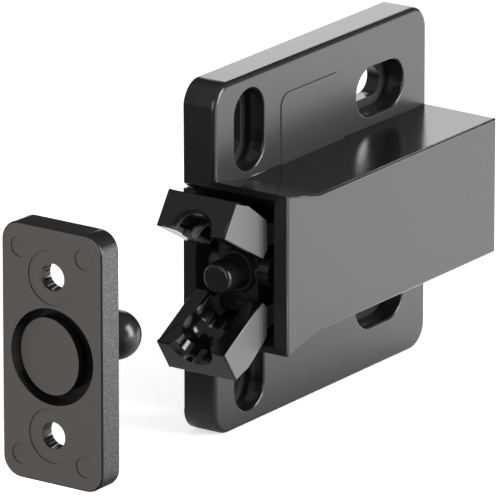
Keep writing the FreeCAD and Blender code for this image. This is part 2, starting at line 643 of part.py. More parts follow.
def make_plunger():
    """Round plunger that the strike's ball pushes on, slotted for its cross pin."""
    body = new_body("plunger")
    sketch = new_sketch(body, "plunger_profile", "XY_Plane", aside="axis_x")
    draw_polygon(sketch, [
        ("0", depth("plunger_start")),
        ("plunger_radius", depth("plunger_start")),
        ("plunger_radius", depth("plunger_end")),
        ("0", depth("plunger_end")),
    ])
    turn(body, "PartDesign::Revolution", "plunger_rod", sketch)
    fillet(body, "plunger_face", "plunger_round",
           lambda edge, box: near(box.YMin, depth("plunger_start"))
           and near(box.YMax, depth("plunger_start")))
    sketch = new_sketch(body, "pin_slot_outline", "YZ_Plane")
    draw_obround(sketch, depth("(boss_depth - plunger_travel / 2)"), "0",
                 "(plunger_travel + 2 * cross_pin_radius + 2 * cross_pin_gap)",
                 "(2 * cross_pin_radius + 2 * cross_pin_gap)", False)
    pocket(body, "pin_slot", sketch, "box_front", backwards=True)
    return body


def make_cross_pin():
    """Pin across the carriage that keeps the plunger in its bore."""
    body = new_body("plunger_pin")
    sketch = new_sketch(body, "cross_rod_outline", "YZ_Plane", f"{EAR_SIDE} + pin_end_gap")
    draw_circle(sketch, depth("boss_depth"), "0", "cross_pin_radius")
    pad(body, "cross_rod", sketch, f"{EARS_WIDTH} - 2 * pin_end_gap")
    return body


def make_jaw(name, upward):
    """One jaw, drawn closed about its pin and then swung open.

    The sketch is that of the upper jaw. The lower one mirrors every height.
    """
    sign = "" if upward else "0 - "
    body = new_body(name)
    left = "axis_x - jaw_width / 2"
    tip = "(0 - jaw_reach)"
    face = "(jaw_gap - pivot_offset)"

    def at(across, up):
        return across, f"{sign}({up})"

    head = [
        at(tip, face),
        at(f"{tip} + jaw_tip_lean", f"{face} + jaw_thickness"),
        at(f"{tip} + jaw_crown_depth", f"{face} + jaw_crown"),
        at(f"{tip} + jaw_back_depth", f"{face} + jaw_back_height"),
        at(f"{tip} + jaw_root_depth", f"{face} + jaw_root_height"),
        at(f"{tip} + jaw_root_depth - jaw_nick", face),
    ]
    sketch = new_sketch(body, f"{name}_head_outline", "YZ_Plane", left)
    draw_polygon(sketch, head)
    pad(body, f"{name}_head", sketch, "jaw_width")
    back_y = number(f"{tip} + jaw_back_depth")
    thick_y = number(f"{tip} + jaw_crown_depth")
    fillet(body, f"{name}_crown", "jaw_crown_round",
           lambda edge, box: runs_along_x(box) and (abs(box.YMin - back_y) < 1e-3
                                                    or abs(box.YMin - thick_y) < 1e-3))
    arms = [
        at(f"{tip} + jaw_back_depth - 2", f"{face} + jaw_back_height - 2.6"),
        at(f"{tip} + jaw_back_depth - 2", f"{face} + jaw_back_height - 0.5"),
        at(f"{tip} + jaw_back_depth", f"{face} + jaw_back_height - 0.5"),
        at("0", "jaw_heel"),
        at("0", "0 - jaw_heel"),
        at(f"{tip} + jaw_root_depth - 0.4", f"{face} + jaw_root_height"),
    ]
    sketch = new_sketch(body, f"{name}_arms_outline", "YZ_Plane", EAR_SIDE)
    draw_polygon(sketch, arms)
    pad(body, f"{name}_arms", sketch, EARS_WIDTH)
    sketch = new_sketch(body, f"{name}_heel_outline", "YZ_Plane", EAR_SIDE)
    draw_circle(sketch, "0", "0", "jaw_heel")
    pad(body, f"{name}_heel", sketch, EARS_WIDTH)
    sketch = new_sketch(body, f"{name}_boss_outline", "YZ_Plane")
    draw_circle(sketch, "boss_depth - pivot_depth", f"{sign}(0 - pivot_offset)",
                "boss_radius + boss_gap")
    pocket(body, f"{name}_boss_room", sketch, "box_front", backwards=True)
    sketch = new_sketch(body, f"{name}_fork_outline", "YZ_Plane", f"{EAR_SIDE} + ear_width")
    draw_circle(sketch, "0", "0", "ear_sweep")
    pocket(body, f"{name}_fork", sketch, f"{EARS_WIDTH} - 2 * ear_width", backwards=True)
    sketch = new_sketch(body, f"{name}_eye_outline", "YZ_Plane")
    draw_circle(sketch, "0", "0", "pin_radius + pin_fit")
    pocket(body, f"{name}_eye", sketch, "box_front", backwards=True)

    axis_height = f"{sign}(0 - pivot_offset)"
    sketch = new_sketch(body, f"{name}_throat_profile", "XY_Plane", axis_height, "axis_x")
    cup = "(0 - jaw_reach + cup_depth)"
    draw_polygon(sketch, [
        ("0", f"{tip} - 1"),
        ("throat_mouth_radius", f"{tip} - 1"),
        ("throat_mouth_radius", tip),
        ("throat_radius", f"{tip} + throat_mouth_depth"),
        ("throat_radius", cup),
        ("root_bore", cup),
        ("root_bore", "0"),
        ("0", "0"),
    ])
    turn(body, "PartDesign::Groove", f"{name}_throat", sketch)
    ball = new_sketch(body, f"{name}_cup_profile", "XY_Plane", axis_height, "axis_x")
    draw_half_disc(ball, "0", cup, "cup_radius")
    turn(body, "PartDesign::Groove", f"{name}_cup", ball)
    chamfer(body, f"{name}_edges", "jaw_edge", is_jaw_edge)
    hook_hole = new_sketch(body, f"{name}_hook_outline", "YZ_Plane", f"{EAR_SIDE} + ear_width")
    draw_circle(hook_hole, "0 - torsion_radius", "0", "torsion_wire / 2 + pin_fit")
    pocket(body, f"{name}_hook_hole", hook_hole, "torsion_leg")

    bind(body, Placement__Base__y=PIVOT_Y, Placement__Base__z=f"{sign}pivot_offset")
    body.Placement.Rotation = FreeCAD.Rotation(-X_AXIS if upward else X_AXIS, 1.0)
    bind(body, Placement__Rotation__Angle="jaw_open_angle")
    return body


def is_jaw_edge(edge, box):
    """Whether an edge runs round one of the jaw's two flat sides, in front of its ears."""
    left = number("axis_x - jaw_width / 2")
    right = number("axis_x + jaw_width / 2")
    on_side = (abs(box.XMax - left) < 1e-3) or (abs(box.XMin - right) < 1e-3)
    return on_side and box.YMax < number("0 - ear_sweep + 1") and box.YLength + box.ZLength > 0.5


def draw_half_disc(sketch, across, up, radius):
    """Draw the right half of a disc, to be turned into a ball."""
    size = number(radius)
    middle = FreeCAD.Vector(number(across), number(up), 0)
    step = FreeCAD.Vector(0, size, 0)
    reach = FreeCAD.Vector(size, 0, 0)
    arc = sketch.addGeometry(Part.Arc(middle - step, middle + reach, middle + step), False)
    line = sketch.addGeometry(Part.LineSegment(middle + step, middle - step), False)
    sketch.addConstraint(Sketcher.Constraint("Coincident", arc, 2, line, 1))
    sketch.addConstraint(Sketcher.Constraint("Coincident", line, 2, arc, 1))
    sketch.addConstraint(Sketcher.Constraint("Vertical", line))
    sketch.addConstraint(Sketcher.Constraint("PointOnObject", arc, 3, line))
    place_point(sketch, arc, 3, across, up)
    index = sketch.addConstraint(Sketcher.Constraint("Radius", arc, size))
    sketch.setExpression(f"Constraints[{index}]", formula(radius))


def make_jaw_pin(name, sign):
    """Plain steel pin through both ears of a jaw and the carriage's tongue."""
    body = new_body(name)
    sketch = new_sketch(body, f"{name}_outline", "YZ_Plane", f"{EAR_SIDE} + pin_end_gap")
    draw_circle(sketch, PIVOT_Y, f"{sign}pivot_offset", "pin_radius")
    pad(body, f"{name}_rod", sketch, f"{EARS_WIDTH} - 2 * pin_end_gap")
    return body


def make_cam_follower():
    """Flat link whose tip runs in the carriage's cam track."""
    body = new_body("cam_follower")
    sketch = new_sketch(body, "link_outline", "YZ_Plane")
    draw_rectangle(sketch, f"0 - {FOLLOWER_REACH}", "0", "0 - follower_half", "follower_half")
    pad(body, "link", sketch, "follower_thickness")
    for name, across, radius in (("eye", "0", "follower_eye"),
                                 ("nose", f"0 - {FOLLOWER_REACH}", "follower_half")):
        sketch = new_sketch(body, f"{name}_outline", "YZ_Plane")
        draw_circle(sketch, across, "0", radius)
        pad(body, name, sketch, "follower_thickness")
    sketch = new_sketch(body, "tip_outline", "YZ_Plane", "follower_thickness")
    draw_circle(sketch, f"0 - {FOLLOWER_REACH}", "0", "follower_tip_radius")
    pad(body, "tip", sketch, "follower_tip_length")
    sketch = new_sketch(body, "eye_hole_outline", "YZ_Plane")
    draw_circle(sketch, "0", "0", "pivot_pin_radius + pin_fit")
    pocket(body, "eye_hole", sketch, "follower_thickness", backwards=True)
    bind(body, Placement__Base__x=FOLLOWER_BACK,
         Placement__Base__y=depth("follower_pivot_depth"))
    body.Placement.Rotation = FreeCAD.Rotation(X_AXIS, 1.0)
    bind(body, Placement__Rotation__Angle="follower_swing")
    return body


def make_follower_pivot():
    """Headed pin that holds the follower to the back cover."""
    body = new_body("follower_pivot")
    sketch = new_sketch(body, "pivot_shank_outline", "YZ_Plane", "cover_thickness - pivot_pin_seat")
    draw_circle(sketch, depth("follower_pivot_depth"), "0", "pivot_pin_radius")
    pad(body, "pivot_shank", sketch, "pivot_pin_seat + 2 * follower_lift + follower_thickness")
    sketch = new_sketch(body, "pivot_head_outline", "YZ_Plane",
                        f"{FOLLOWER_BACK} + follower_thickness + follower_lift")
    draw_circle(sketch, depth("follower_pivot_depth"), "0", "pivot_pin_head")
    pad(body, "pivot_head", sketch, "pivot_pin_head_height")
    return body


def make_spring_guide():
    """Rod that keeps the main spring straight, with a flange against the rear wall."""
    body = new_body("spring_guide")
    sketch = new_sketch(body, "guide_profile", "XY_Plane")
    back = f"{BAY_END} - {depth('guide_start')}"
    draw_polygon(sketch, [
        ("0", "0"),
        ("guide_radius", "0"),
        ("guide_radius", f"{back} - guide_flange_height"),
        ("guide_flange", f"{back} - guide_flange_height"),
        ("guide_flange", back),
        ("0", back),
    ])
    turn(body, "PartDesign::Revolution", "guide", sketch)
    bind(body, Placement__Base__x="axis_x", Placement__Base__y=depth("guide_start"))
    return body


def wind(radius, wire, pitch, turns):
    """Wire wound along +Z from (radius, 0, 0) in short straight lengths."""
    steps = int(number("coil_steps"))
    points = []
    for step in range(int(turns * steps) + 1):
        angle = 2 * math.pi * step / steps
        points.append(FreeCAD.Vector(
            radius * math.cos(angle), radius * math.sin(angle), pitch * step / steps))
    ring = Part.Wire(Part.makeCircle(wire / 2, points[0], points[1].sub(points[0])))
    return Part.Wire(Part.makePolygon(points)).makePipeShell([ring], True, False, 1)


def compression_spring(name, radius, wire, turns, start, end):
    """Compression spring along the latch's axis between two depths in millimetres."""
    length = end - start - wire
    feature = doc.addObject("Part::Feature", name)
    feature.Label = name
    feature.Shape = wind(radius, wire, length / turns, turns)
    feature.Placement = FreeCAD.Placement(
        FreeCAD.Vector(number("axis_x"), start + wire / 2, 0), FreeCAD.Rotation(Z_AXIS, Y_AXIS))
    return feature


def make_main_spring():
    """Compression spring between the carriage and the guide's flange."""
    return compression_spring(
        "main_spring", number("spring_radius"), number("spring_wire"), int(number("spring_turns")),
        number(depth("block_end")), number(f"{BAY_END} - guide_flange_height"))


def make_plunger_spring():
    """Compression spring between the plunger and the end of its bore."""
    return compression_spring(
        "plunger_spring", number("plunger_spring_radius"), number("plunger_spring_wire"),
        int(number("plunger_spring_turns")), number(depth("plunger_end")),
        number(depth("plunger_bore_end")))


def make_jaw_spring(name, upward):
    """Torsion spring round a jaw pin, hooked into the jaw's ear."""
    wire = number("torsion_wire")
    radius = number("torsion_radius")
    winding = wind(radius, wire, wire * 1.15, number("torsion_turns"))
    inset = number("ear_gap") + wire / 2
    hook = Part.makeCylinder(wire / 2, number("torsion_leg") + inset,
                             FreeCAD.Vector(radius, 0, -number("torsion_leg") - inset), Z_AXIS)
    ball = Part.makeSphere(wire / 2, FreeCAD.Vector(radius, 0, 0))
    direction = 1.0 if upward else -1.0
    feature = doc.addObject("Part::Feature", name)
    feature.Label = name
    feature.Shape = winding.fuse([hook, ball]).removeSplitter()
    # The winding's axis goes to X and its hook to the jaw's side of the pin.
    stand = FreeCAD.Rotation(FreeCAD.Vector(0, -1, 0), FreeCAD.Vector(0, 0, direction), X_AXIS, "ZXY")
    swing = FreeCAD.Rotation(X_AXIS, -direction * number("jaw_open_angle"))
    feature.Placement = FreeCAD.Placement(
        FreeCAD.Vector(number(TONGUE_SIDE) + wire / 2, number(PIVOT_Y),
                       direction * number("pivot_offset")), swing.multiply(stand))
    return feature


def make_strike_plate():
    """Strike that is screwed to the door, with a pocket that the ball stud floats in."""
    body = new_body("strike_plate")
    sketch = new_sketch(body, "strike_outline", "XZ_Plane")
    draw_rectangle(sketch, "0 - strike_width / 2", "strike_width / 2",
                   "0 - strike_height / 2", "strike_height / 2")
    pad(body, "strike_slab", sketch, "strike_thickness", backwards=True)
    fillet(body, "strike_corners", "strike_corner",
           lambda edge, box: box.XLength < CLOSE and box.ZLength < CLOSE)
    fillet(body, "strike_rims", "strike_edge",
           lambda edge, box: box.YLength < CLOSE)
    sketch = new_sketch(body, "pocket_outline", "XZ_Plane")
    draw_circle(sketch, "0", "0", "pocket_radius")
    pocket(body, "flange_pocket", sketch, "pocket_depth")
    sketch = new_sketch(body, "neck_hole_outline", "XZ_Plane")
    draw_circle(sketch, "0", "0", "neck_hole")
    pocket(body, "neck_opening", sketch, "strike_thickness")
    for side, sign in (("upper", ""), ("lower", "0 - ")):
        height = f"{sign}strike_hole_spacing / 2"
        sketch = new_sketch(body, f"{side}_spot_outline", "XZ_Plane")
        draw_circle(sketch, "0", height, "strike_spot")
        pocket(body, f"{side}_spot", sketch, "strike_spot_depth")
        sketch = new_sketch(body, f"{side}_screw_outline", "XZ_Plane")
        draw_circle(sketch, "0", height, "strike_hole")
        pocket(body, f"{side}_screw_hole", sketch, "strike_thickness")
    chamfer(body, "screw_sinks", "strike_sink - strike_hole", is_strike_sink)
    sketch = new_sketch(body, "dimple_outline", "XZ_Plane")
    for across in ("dimple_side", "0 - dimple_side"):
        for up in ("dimple_height", "0 - dimple_height"):
            draw_circle(sketch, across, up, "dimple_radius")
    pocket(body, "dimples", sketch, "strike_spot_depth")
    bind(body, Placement__Base__x=STRIKE_X, Placement__Base__y=STRIKE_Y,
         Placement__Base__z=STRIKE_Z)
    return body


def is_strike_sink(edge, box):
    """Whether an edge is a screw hole's rim on the strike's inner face."""
    on_face = near(box.YMin, "strike_thickness") and near(box.YMax, "strike_thickness")
    return on_face and abs(box.XLength - 2 * number("strike_hole")) < 1e-3


def make_ball_stud():
    """Stud with a flange that floats in the strike and a ball that the jaws close on."""
    body = new_body("ball_stud")
    sketch = new_sketch(body, "stud_profile", "XY_Plane")
    half = "flange_thickness / 2"
    draw_polygon(sketch, [
        ("0", f"0 - {half}"),
        ("flange_radius", f"0 - {half}"),
        ("flange_radius", half),
        ("neck_radius + neck_fillet", half),
        ("neck_radius", f"{half} + neck_fillet"),
        ("neck_radius", "ball_reach"),
        ("0", "ball_reach"),
    ])
    turn(body, "PartDesign::Revolution", "stem", sketch)
    ball = new_sketch(body, "ball_profile", "XY_Plane")
    draw_half_disc(ball, "0", "ball_reach", "ball_radius")
    turn(body, "PartDesign::Revolution", "ball", ball)
    cut = new_sketch(body, "flat_outline", "XZ_Plane",
                     "0 - ball_reach - sqrt(ball_radius * ball_radius - ball_flat * ball_flat)")
    draw_circle(cut, "0", "0", "ball_radius")
    pocket(body, "ball_face", cut, "ball_radius")
    bind(body, Placement__Base__x="axis_x", Placement__Base__y=f"{STRIKE_Y} + flange_inset",
         Placement__Base__z=f"{STRIKE_Z} - stud_drop")
    body.Placement.Rotation = FreeCAD.Rotation(-Z_AXIS, 1.0)
    bind(body, Placement__Rotation__Angle="stud_tilt")
    return body


def build_all():
    """Make every piece, in the order in which the latch goes together."""
    pieces = [make_housing(), make_back_cover()]
    for place, (at_depth, height) in enumerate(ear_screws(), start=1):
        pieces.append(make_cover_screw(place, at_depth, height))
    pieces += [make_carriage(), make_plunger(), make_cross_pin(), make_plunger_spring()]
    pieces += [make_jaw("upper_jaw", True), make_jaw("lower_jaw", False)]
    pieces += [make_jaw_pin("upper_jaw_pin", ""), make_jaw_pin("lower_jaw_pin", "0 - ")]
    pieces += [make_jaw_spring("upper_jaw_spring", True), make_jaw_spring("lower_jaw_spring", False)]
    pieces += [make_cam_follower(), make_follower_pivot()]
    pieces += [make_spring_guide(), make_main_spring()]
    pieces += [make_strike_plate(), make_ball_stud()]
    return pieces


def write_parts(pieces):
    """Check every object and write one STEP file for each piece."""
    doc.recompute()
    for item in doc.Objects:
        faults = [state for state in item.State if state in ("Invalid", "Error")]
        if faults:
            raise RuntimeError(f"{item.Name} failed: {item.State}")
    os.makedirs("parts", exist_ok=True)
    for piece in pieces:
        shape = piece.Shape
        if shape.isNull() or not shape.isValid():
            raise RuntimeError(f"{piece.Label} is not a valid solid")
        shape.exportStep(os.path.join("parts", f"{piece.Label}.step"))
        print(f"{piece.Label}: {len(shape.Solids)} solid, {shape.Volume:.2f} mm3")


write_parts(build_all())
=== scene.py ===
"""Touch latch with its ball stud strike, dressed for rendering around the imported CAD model."""
from __future__ import annotations

import json
import logging
import math
from dataclasses import dataclass, field
from enum import Enum

import bpy
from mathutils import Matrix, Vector

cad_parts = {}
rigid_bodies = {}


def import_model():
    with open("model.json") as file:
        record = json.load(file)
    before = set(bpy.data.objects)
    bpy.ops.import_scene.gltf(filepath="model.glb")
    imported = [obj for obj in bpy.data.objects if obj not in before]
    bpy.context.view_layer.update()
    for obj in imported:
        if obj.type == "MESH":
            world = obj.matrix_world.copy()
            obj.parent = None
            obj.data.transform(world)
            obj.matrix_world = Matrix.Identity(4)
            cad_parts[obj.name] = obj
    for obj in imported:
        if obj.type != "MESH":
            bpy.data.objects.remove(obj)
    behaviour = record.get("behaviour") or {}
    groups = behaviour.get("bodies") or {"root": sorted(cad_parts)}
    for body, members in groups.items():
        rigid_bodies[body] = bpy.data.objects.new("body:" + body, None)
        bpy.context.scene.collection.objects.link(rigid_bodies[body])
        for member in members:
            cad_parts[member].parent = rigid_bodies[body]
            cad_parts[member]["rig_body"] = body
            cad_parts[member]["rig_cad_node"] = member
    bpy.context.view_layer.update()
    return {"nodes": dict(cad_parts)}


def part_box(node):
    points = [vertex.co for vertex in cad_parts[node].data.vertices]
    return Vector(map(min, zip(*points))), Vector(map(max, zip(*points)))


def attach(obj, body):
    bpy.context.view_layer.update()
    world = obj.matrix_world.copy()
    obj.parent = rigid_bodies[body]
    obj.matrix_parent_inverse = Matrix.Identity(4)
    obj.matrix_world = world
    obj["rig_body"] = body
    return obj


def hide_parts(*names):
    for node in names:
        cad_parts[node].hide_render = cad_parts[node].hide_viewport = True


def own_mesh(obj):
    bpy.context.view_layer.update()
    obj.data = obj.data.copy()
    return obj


LOG = logging.getLogger("touch_latch")
MM = 0.001
MERGE_DISTANCE = 1e-6
COPLANAR = math.cos(math.radians(0.3))
FLAT_SPAN = 0.32 * MM


class Body(Enum):
    """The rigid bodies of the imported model."""

    LATCH = "latch_body"
    CARRIAGE = "carriage_body"
    PLUNGER = "plunger_body"
    UPPER_JAW = "upper_jaw_body"
    LOWER_JAW = "lower_jaw_body"
    STRIKE = "strike_body"
    STUD = "stud_body"


class Axis(Enum):
    """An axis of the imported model, by its output on a node that takes a vector apart."""

    ACROSS = "X"
    ALONG = "Y"


class Slot(Enum):
    """The record's material slots."""

    HOUSING = "housing_plastic"
    JAW = "jaw_plastic"
    CARRIAGE = "carriage_plastic"
    PLUNGER = "plunger_plastic"
    STRIKE = "strike_plastic"
    STUD = "stud_plastic"
    SPRING = "spring_steel"
    PIN = "pin_steel"
    SCREW = "screw_steel"


class ShaderGroups:
    """Shader node groups that several finishes share. Each is built once."""

    GRAIN = "Moulded grain"
    CLOUD = "Tone drift"

    @staticmethod
    def _socket(tree: bpy.types.NodeTree, name: str, kind: str, outward: bool,
                default: float | None = None) -> None:
        """Add a named socket to a group.

        Args:
            tree: The group.
            name: The socket's name.
            kind: Blender's socket type, such as NodeSocketFloat.
            outward: Whether it is an output.
            default: The value that an input starts with.
        """
        socket = tree.interface.new_socket(name=name, in_out="OUTPUT" if outward else "INPUT",
                                           socket_type=kind)
        if default is not None:
            socket.default_value = default

    @classmethod
    def grain(cls) -> bpy.types.NodeTree:
        """Fine spark-eroded grain of a moulded face.

        Returns:
            The group, with a height and a mask that both run from 0 to 1.
        """
        tree = bpy.data.node_groups.get(cls.GRAIN)
        if tree:
            return tree
        tree = bpy.data.node_groups.new(cls.GRAIN, "ShaderNodeTree")
        cls._socket(tree, "Vector", "NodeSocketVector", False)
        cls._socket(tree, "Size per metre", "NodeSocketFloat", False, 4000.0)
        cls._socket(tree, "Height", "NodeSocketFloat", True)
        cls._socket(tree, "Pits", "NodeSocketFloat", True)
        nodes, links = tree.nodes, tree.links
        entry = nodes.new("NodeGroupInput")
        leave = nodes.new("NodeGroupOutput")
        noise = nodes.new("ShaderNodeTexNoise")
        noise.inputs["Detail"].default_value = 3.0
        noise.inputs["Roughness"].default_value = 0.6
        cells = nodes.new("ShaderNodeTexVoronoi")
        cells.feature = "F1"
        coarse = nodes.new("ShaderNodeMath")
        coarse.operation = "MULTIPLY"
        coarse.inputs[1].default_value = 0.45
        blend = nodes.new("ShaderNodeMix")
        blend.data_type = "FLOAT"
        blend.inputs["Factor"].default_value = 0.45
        pits = nodes.new("ShaderNodeMapRange")
        pits.inputs["From Min"].default_value = 0.52
        pits.inputs["From Max"].default_value = 0.68
        links.new(entry.outputs["Vector"], noise.inputs["Vector"])
        links.new(entry.outputs["Vector"], cells.inputs["Vector"])
        links.new(entry.outputs["Size per metre"], noise.inputs["Scale"])
        links.new(entry.outputs["Size per metre"], coarse.inputs[0])
        links.new(coarse.outputs[0], cells.inputs["Scale"])
        links.new(noise.outputs["Fac"], blend.inputs["A"])
        links.new(cells.outputs["Distance"], blend.inputs["B"])
        links.new(blend.outputs["Result"], leave.inputs["Height"])
        links.new(noise.outputs["Fac"], pits.inputs["Value"])
        links.new(pits.outputs["Result"], leave.inputs["Pits"])
        return tree

    @classmethod
    def cloud(cls) -> bpy.types.NodeTree:
        """Slow drift in tone and gloss over a moulded face.

        Returns:
            The group, with one value near 1 that scales a colour or a roughness.
        """
        tree = bpy.data.node_groups.get(cls.CLOUD)
        if tree:
            return tree
        tree = bpy.data.node_groups.new(cls.CLOUD, "ShaderNodeTree")
        cls._socket(tree, "Vector", "NodeSocketVector", False)
        cls._socket(tree, "Size per metre", "NodeSocketFloat", False, 60.0)
        cls._socket(tree, "Spread", "NodeSocketFloat", False, 0.1)
        cls._socket(tree, "Factor", "NodeSocketFloat", True)
        nodes, links = tree.nodes, tree.links
        entry = nodes.new("NodeGroupInput")
        leave = nodes.new("NodeGroupOutput")
        noise = nodes.new("ShaderNodeTexNoise")
        noise.inputs["Detail"].default_value = 2.0
        centred = nodes.new("ShaderNodeMath")
        centred.operation = "SUBTRACT"
        centred.inputs[1].default_value = 0.5
        scaled = nodes.new("ShaderNodeMath")
        scaled.operation = "MULTIPLY_ADD"
        scaled.inputs[2].default_value = 1.0
        links.new(entry.outputs["Vector"], noise.inputs["Vector"])
        links.new(entry.outputs["Size per metre"], noise.inputs["Scale"])
        links.new(noise.outputs["Fac"], centred.inputs[0])
        links.new(centred.outputs[0], scaled.inputs[0])
        links.new(entry.outputs["Spread"], scaled.inputs[1])
        links.new(scaled.outputs[0], leave.inputs["Factor"])
        return tree


@dataclass(frozen=True)
class Plastic:
    """A moulded plastic finish.

    Attributes:
        slot: The record's slot that it finishes.
        colour: Linear base colour.
        roughness: Mean roughness.
        grain_per_metre: Grain cells along a metre.
        grain_depth: Depth of the grain, in metres.
        pit_shade: How much lighter the grain's peaks are.
        drift: Spread of the slow drift in tone and gloss.
        coat: Weight of a smooth skin over the plastic.
        flat: Painted light: a lighter base colour on the flat faces that look along one axis, for the
            light and reflections on that side, or None.
        flat_axis: That axis.
        flat_until: How far along that axis such faces reach, in metres.
        flat_roughness: Roughness of those faces.
        side: Mean base colour painted on the faces that look across, lighter than the rest and
            speckled with painted glints, or None.
    """

    slot: Slot
    colour: tuple[float, float, float]
    roughness: float
    grain_per_metre: float = 4200.0
    grain_depth: float = 0.00002
    pit_shade: float = 0.12
    drift: float = 0.25
    coat: float = 0.0
    flat: tuple[float, float, float] | None = None
    flat_axis: Axis = Axis.ACROSS
    flat_until: float = 1.0
    flat_roughness: float = 0.5
    side: tuple[float, float, float] | None = None

    def material(self) -> bpy.types.Material:
        """Build the material, or find it when it was built before.

        Returns:
            The node material.
        """
        found = bpy.data.materials.get(f"finish_{self.slot.value}")
        if found:
            return found
        made = bpy.data.materials.new(f"finish_{self.slot.value}")
        made.use_nodes = True
        nodes, links = made.node_tree.nodes, made.node_tree.links
        shader = nodes["Principled BSDF"]
        place = nodes.new("ShaderNodeTexCoord")
        grain = nodes.new("ShaderNodeGroup")
        grain.node_tree = ShaderGroups.grain()
        grain.inputs["Size per metre"].default_value = self.grain_per_metre
        cloud = nodes.new("ShaderNodeGroup")
        cloud.node_tree = ShaderGroups.cloud()
        cloud.inputs["Spread"].default_value = self.drift
        tint = nodes.new("ShaderNodeMix")
        tint.data_type = "RGBA"
        tint.inputs["A"].default_value = (*self.colour, 1.0)
        tint.inputs["B"].default_value = (*(c * (1.0 + 4.0 * self.pit_shade)
                                            for c in self.colour), 1.0)
        peaks = nodes.new("ShaderNodeMath")
        peaks.operation = "MULTIPLY"
        peaks.inputs[1].default_value = self.pit_shade * 4.0
        toned = nodes.new("ShaderNodeVectorMath")
        toned.operation = "SCALE"
        gloss = nodes.new("ShaderNodeMath")
        gloss.operation = "MULTIPLY"
        gloss.inputs[1].default_value = self.roughness
        bump = nodes.new("ShaderNodeBump")
        bump.inputs["Distance"].default_value = self.grain_depth
        bump.inputs["Strength"].default_value = 1.0
        for texture in (grain, cloud):
            links.new(place.outputs["Object"], texture.inputs["Vector"])
        links.new(grain.outputs["Pits"], peaks.inputs[0])
        links.new(peaks.outputs[0], tint.inputs["Factor"])
        links.new(tint.outputs["Result"], toned.inputs[0])
        links.new(cloud.outputs["Factor"], toned.inputs["Scale"])
        links.new(cloud.outputs["Factor"], gloss.inputs[0])
        colour, roughness = toned.outputs["Vector"], gloss.outputs[0]
        # Painted light on the faces that look along one axis.
        if self.flat:
            colour, roughness = self._satin_flats_with_painted_light(made.node_tree, colour, roughness)
        # Painted light and painted glints on the faces that look across.
        if self.side:
            colour, roughness = self._sides_with_painted_glints(made.node_tree, colour, roughness,
                                                     grain.outputs["Pits"])
        links.new(colour, shader.inputs["Base Color"])
        links.new(roughness, shader.inputs["Roughness"])
        links.new(grain.outputs["Height"], bump.inputs["Height"])
        links.new(bump.outputs["Normal"], shader.inputs["Normal"])
        shader.inputs["Coat Weight"].default_value = self.coat
        shader.inputs["Coat Roughness"].default_value = 0.12
        return made

    def _satin_flats_with_painted_light(self, tree: bpy.types.NodeTree, colour: bpy.types.NodeSocket,
                     roughness: bpy.types.NodeSocket
                     ) -> tuple[bpy.types.NodeSocket, bpy.types.NodeSocket]:
        """Paint light on the faces that look along one axis, as a lighter colour, and give them their
        own roughness.

        Args:
            tree: The material's nodes.
            colour: The colour elsewhere.
            roughness: The roughness elsewhere.

        Returns:
            The colour and the roughness all over.
        """
        nodes, links = tree.nodes, tree.links
        surface = nodes.new("ShaderNodeNewGeometry")
        apart = nodes.new("ShaderNodeSeparateXYZ")
        size = nodes.new("ShaderNodeMath")
        size.operation = "ABSOLUTE"
        painted_facing_mask = nodes.new("ShaderNodeMapRange")
        painted_facing_mask.inputs["From Min"].default_value = 0.93
        painted_facing_mask.inputs["From Max"].default_value = 0.99
        place = nodes.new("ShaderNodeTexCoord")
        where = nodes.new("ShaderNodeSeparateXYZ")
        outer = nodes.new("ShaderNodeMath")
        outer.operation = "LESS_THAN"
        outer.inputs[1].default_value = self.flat_until
        painted_flat_mask = nodes.new("ShaderNodeMath")
        painted_flat_mask.operation = "MULTIPLY"
        # Painted light: the picked faces take a lighter colour for the light and reflections on that
        # side.
        painted_light_mix = nodes.new("ShaderNodeMix")
        painted_light_mix.data_type = "RGBA"
        painted_light_mix.inputs["B"].default_value = (*self.flat, 1.0)
        sheen = nodes.new("ShaderNodeMix")
        sheen.data_type = "FLOAT"
        sheen.inputs["B"].default_value = self.flat_roughness
        links.new(surface.outputs["Normal"], apart.inputs["Vector"])
        links.new(apart.outputs[self.flat_axis.value], size.inputs[0])
        links.new(size.outputs[0], painted_facing_mask.inputs["Value"])
        links.new(place.outputs["Object"], where.inputs["Vector"])
        links.new(where.outputs[self.flat_axis.value], outer.inputs[0])
        links.new(painted_facing_mask.outputs["Result"], painted_flat_mask.inputs[0])
        links.new(outer.outputs[0], painted_flat_mask.inputs[1])
        links.new(painted_flat_mask.outputs[0], painted_light_mix.inputs["Factor"])
        links.new(painted_flat_mask.outputs[0], sheen.inputs["Factor"])
        links.new(colour, painted_light_mix.inputs["A"])
        links.new(roughness, sheen.inputs["A"])
        return painted_light_mix.outputs["Result"], sheen.outputs["Result"]

    def _sides_with_painted_glints(self, tree: bpy.types.NodeTree, colour: bpy.types.NodeSocket,
                        roughness: bpy.types.NodeSocket, specks: bpy.types.NodeSocket
                        ) -> tuple[bpy.types.NodeSocket, bpy.types.NodeSocket]:
        """Paint light on the faces that look across, as a lighter colour with painted glints on the
        grain's specks, and give them the flat faces' roughness.

        Args:
            tree: The material's nodes.
            colour: The colour elsewhere.
            roughness: The roughness elsewhere.
            specks: The grain's mask.

        Returns:
            The colour and the roughness all over.
        """
        nodes, links = tree.nodes, tree.links
        surface = nodes.new("ShaderNodeNewGeometry")
        apart = nodes.new("ShaderNodeSeparateXYZ")
        size = nodes.new("ShaderNodeMath")
        size.operation = "ABSOLUTE"
        painted_facing_mask = nodes.new("ShaderNodeMapRange")
        painted_facing_mask.inputs["From Min"].default_value = 0.85
        painted_facing_mask.inputs["From Max"].default_value = 0.97
        # Painted glints: the grain's specks run from half to three times the side colour.
        painted_glints = nodes.new("ShaderNodeMix")
        painted_glints.data_type = "RGBA"
        painted_glints.inputs["A"].default_value = (*(c * 0.5 for c in self.side), 1.0)
        painted_glints.inputs["B"].default_value = (*(c * 3.0 for c in self.side), 1.0)
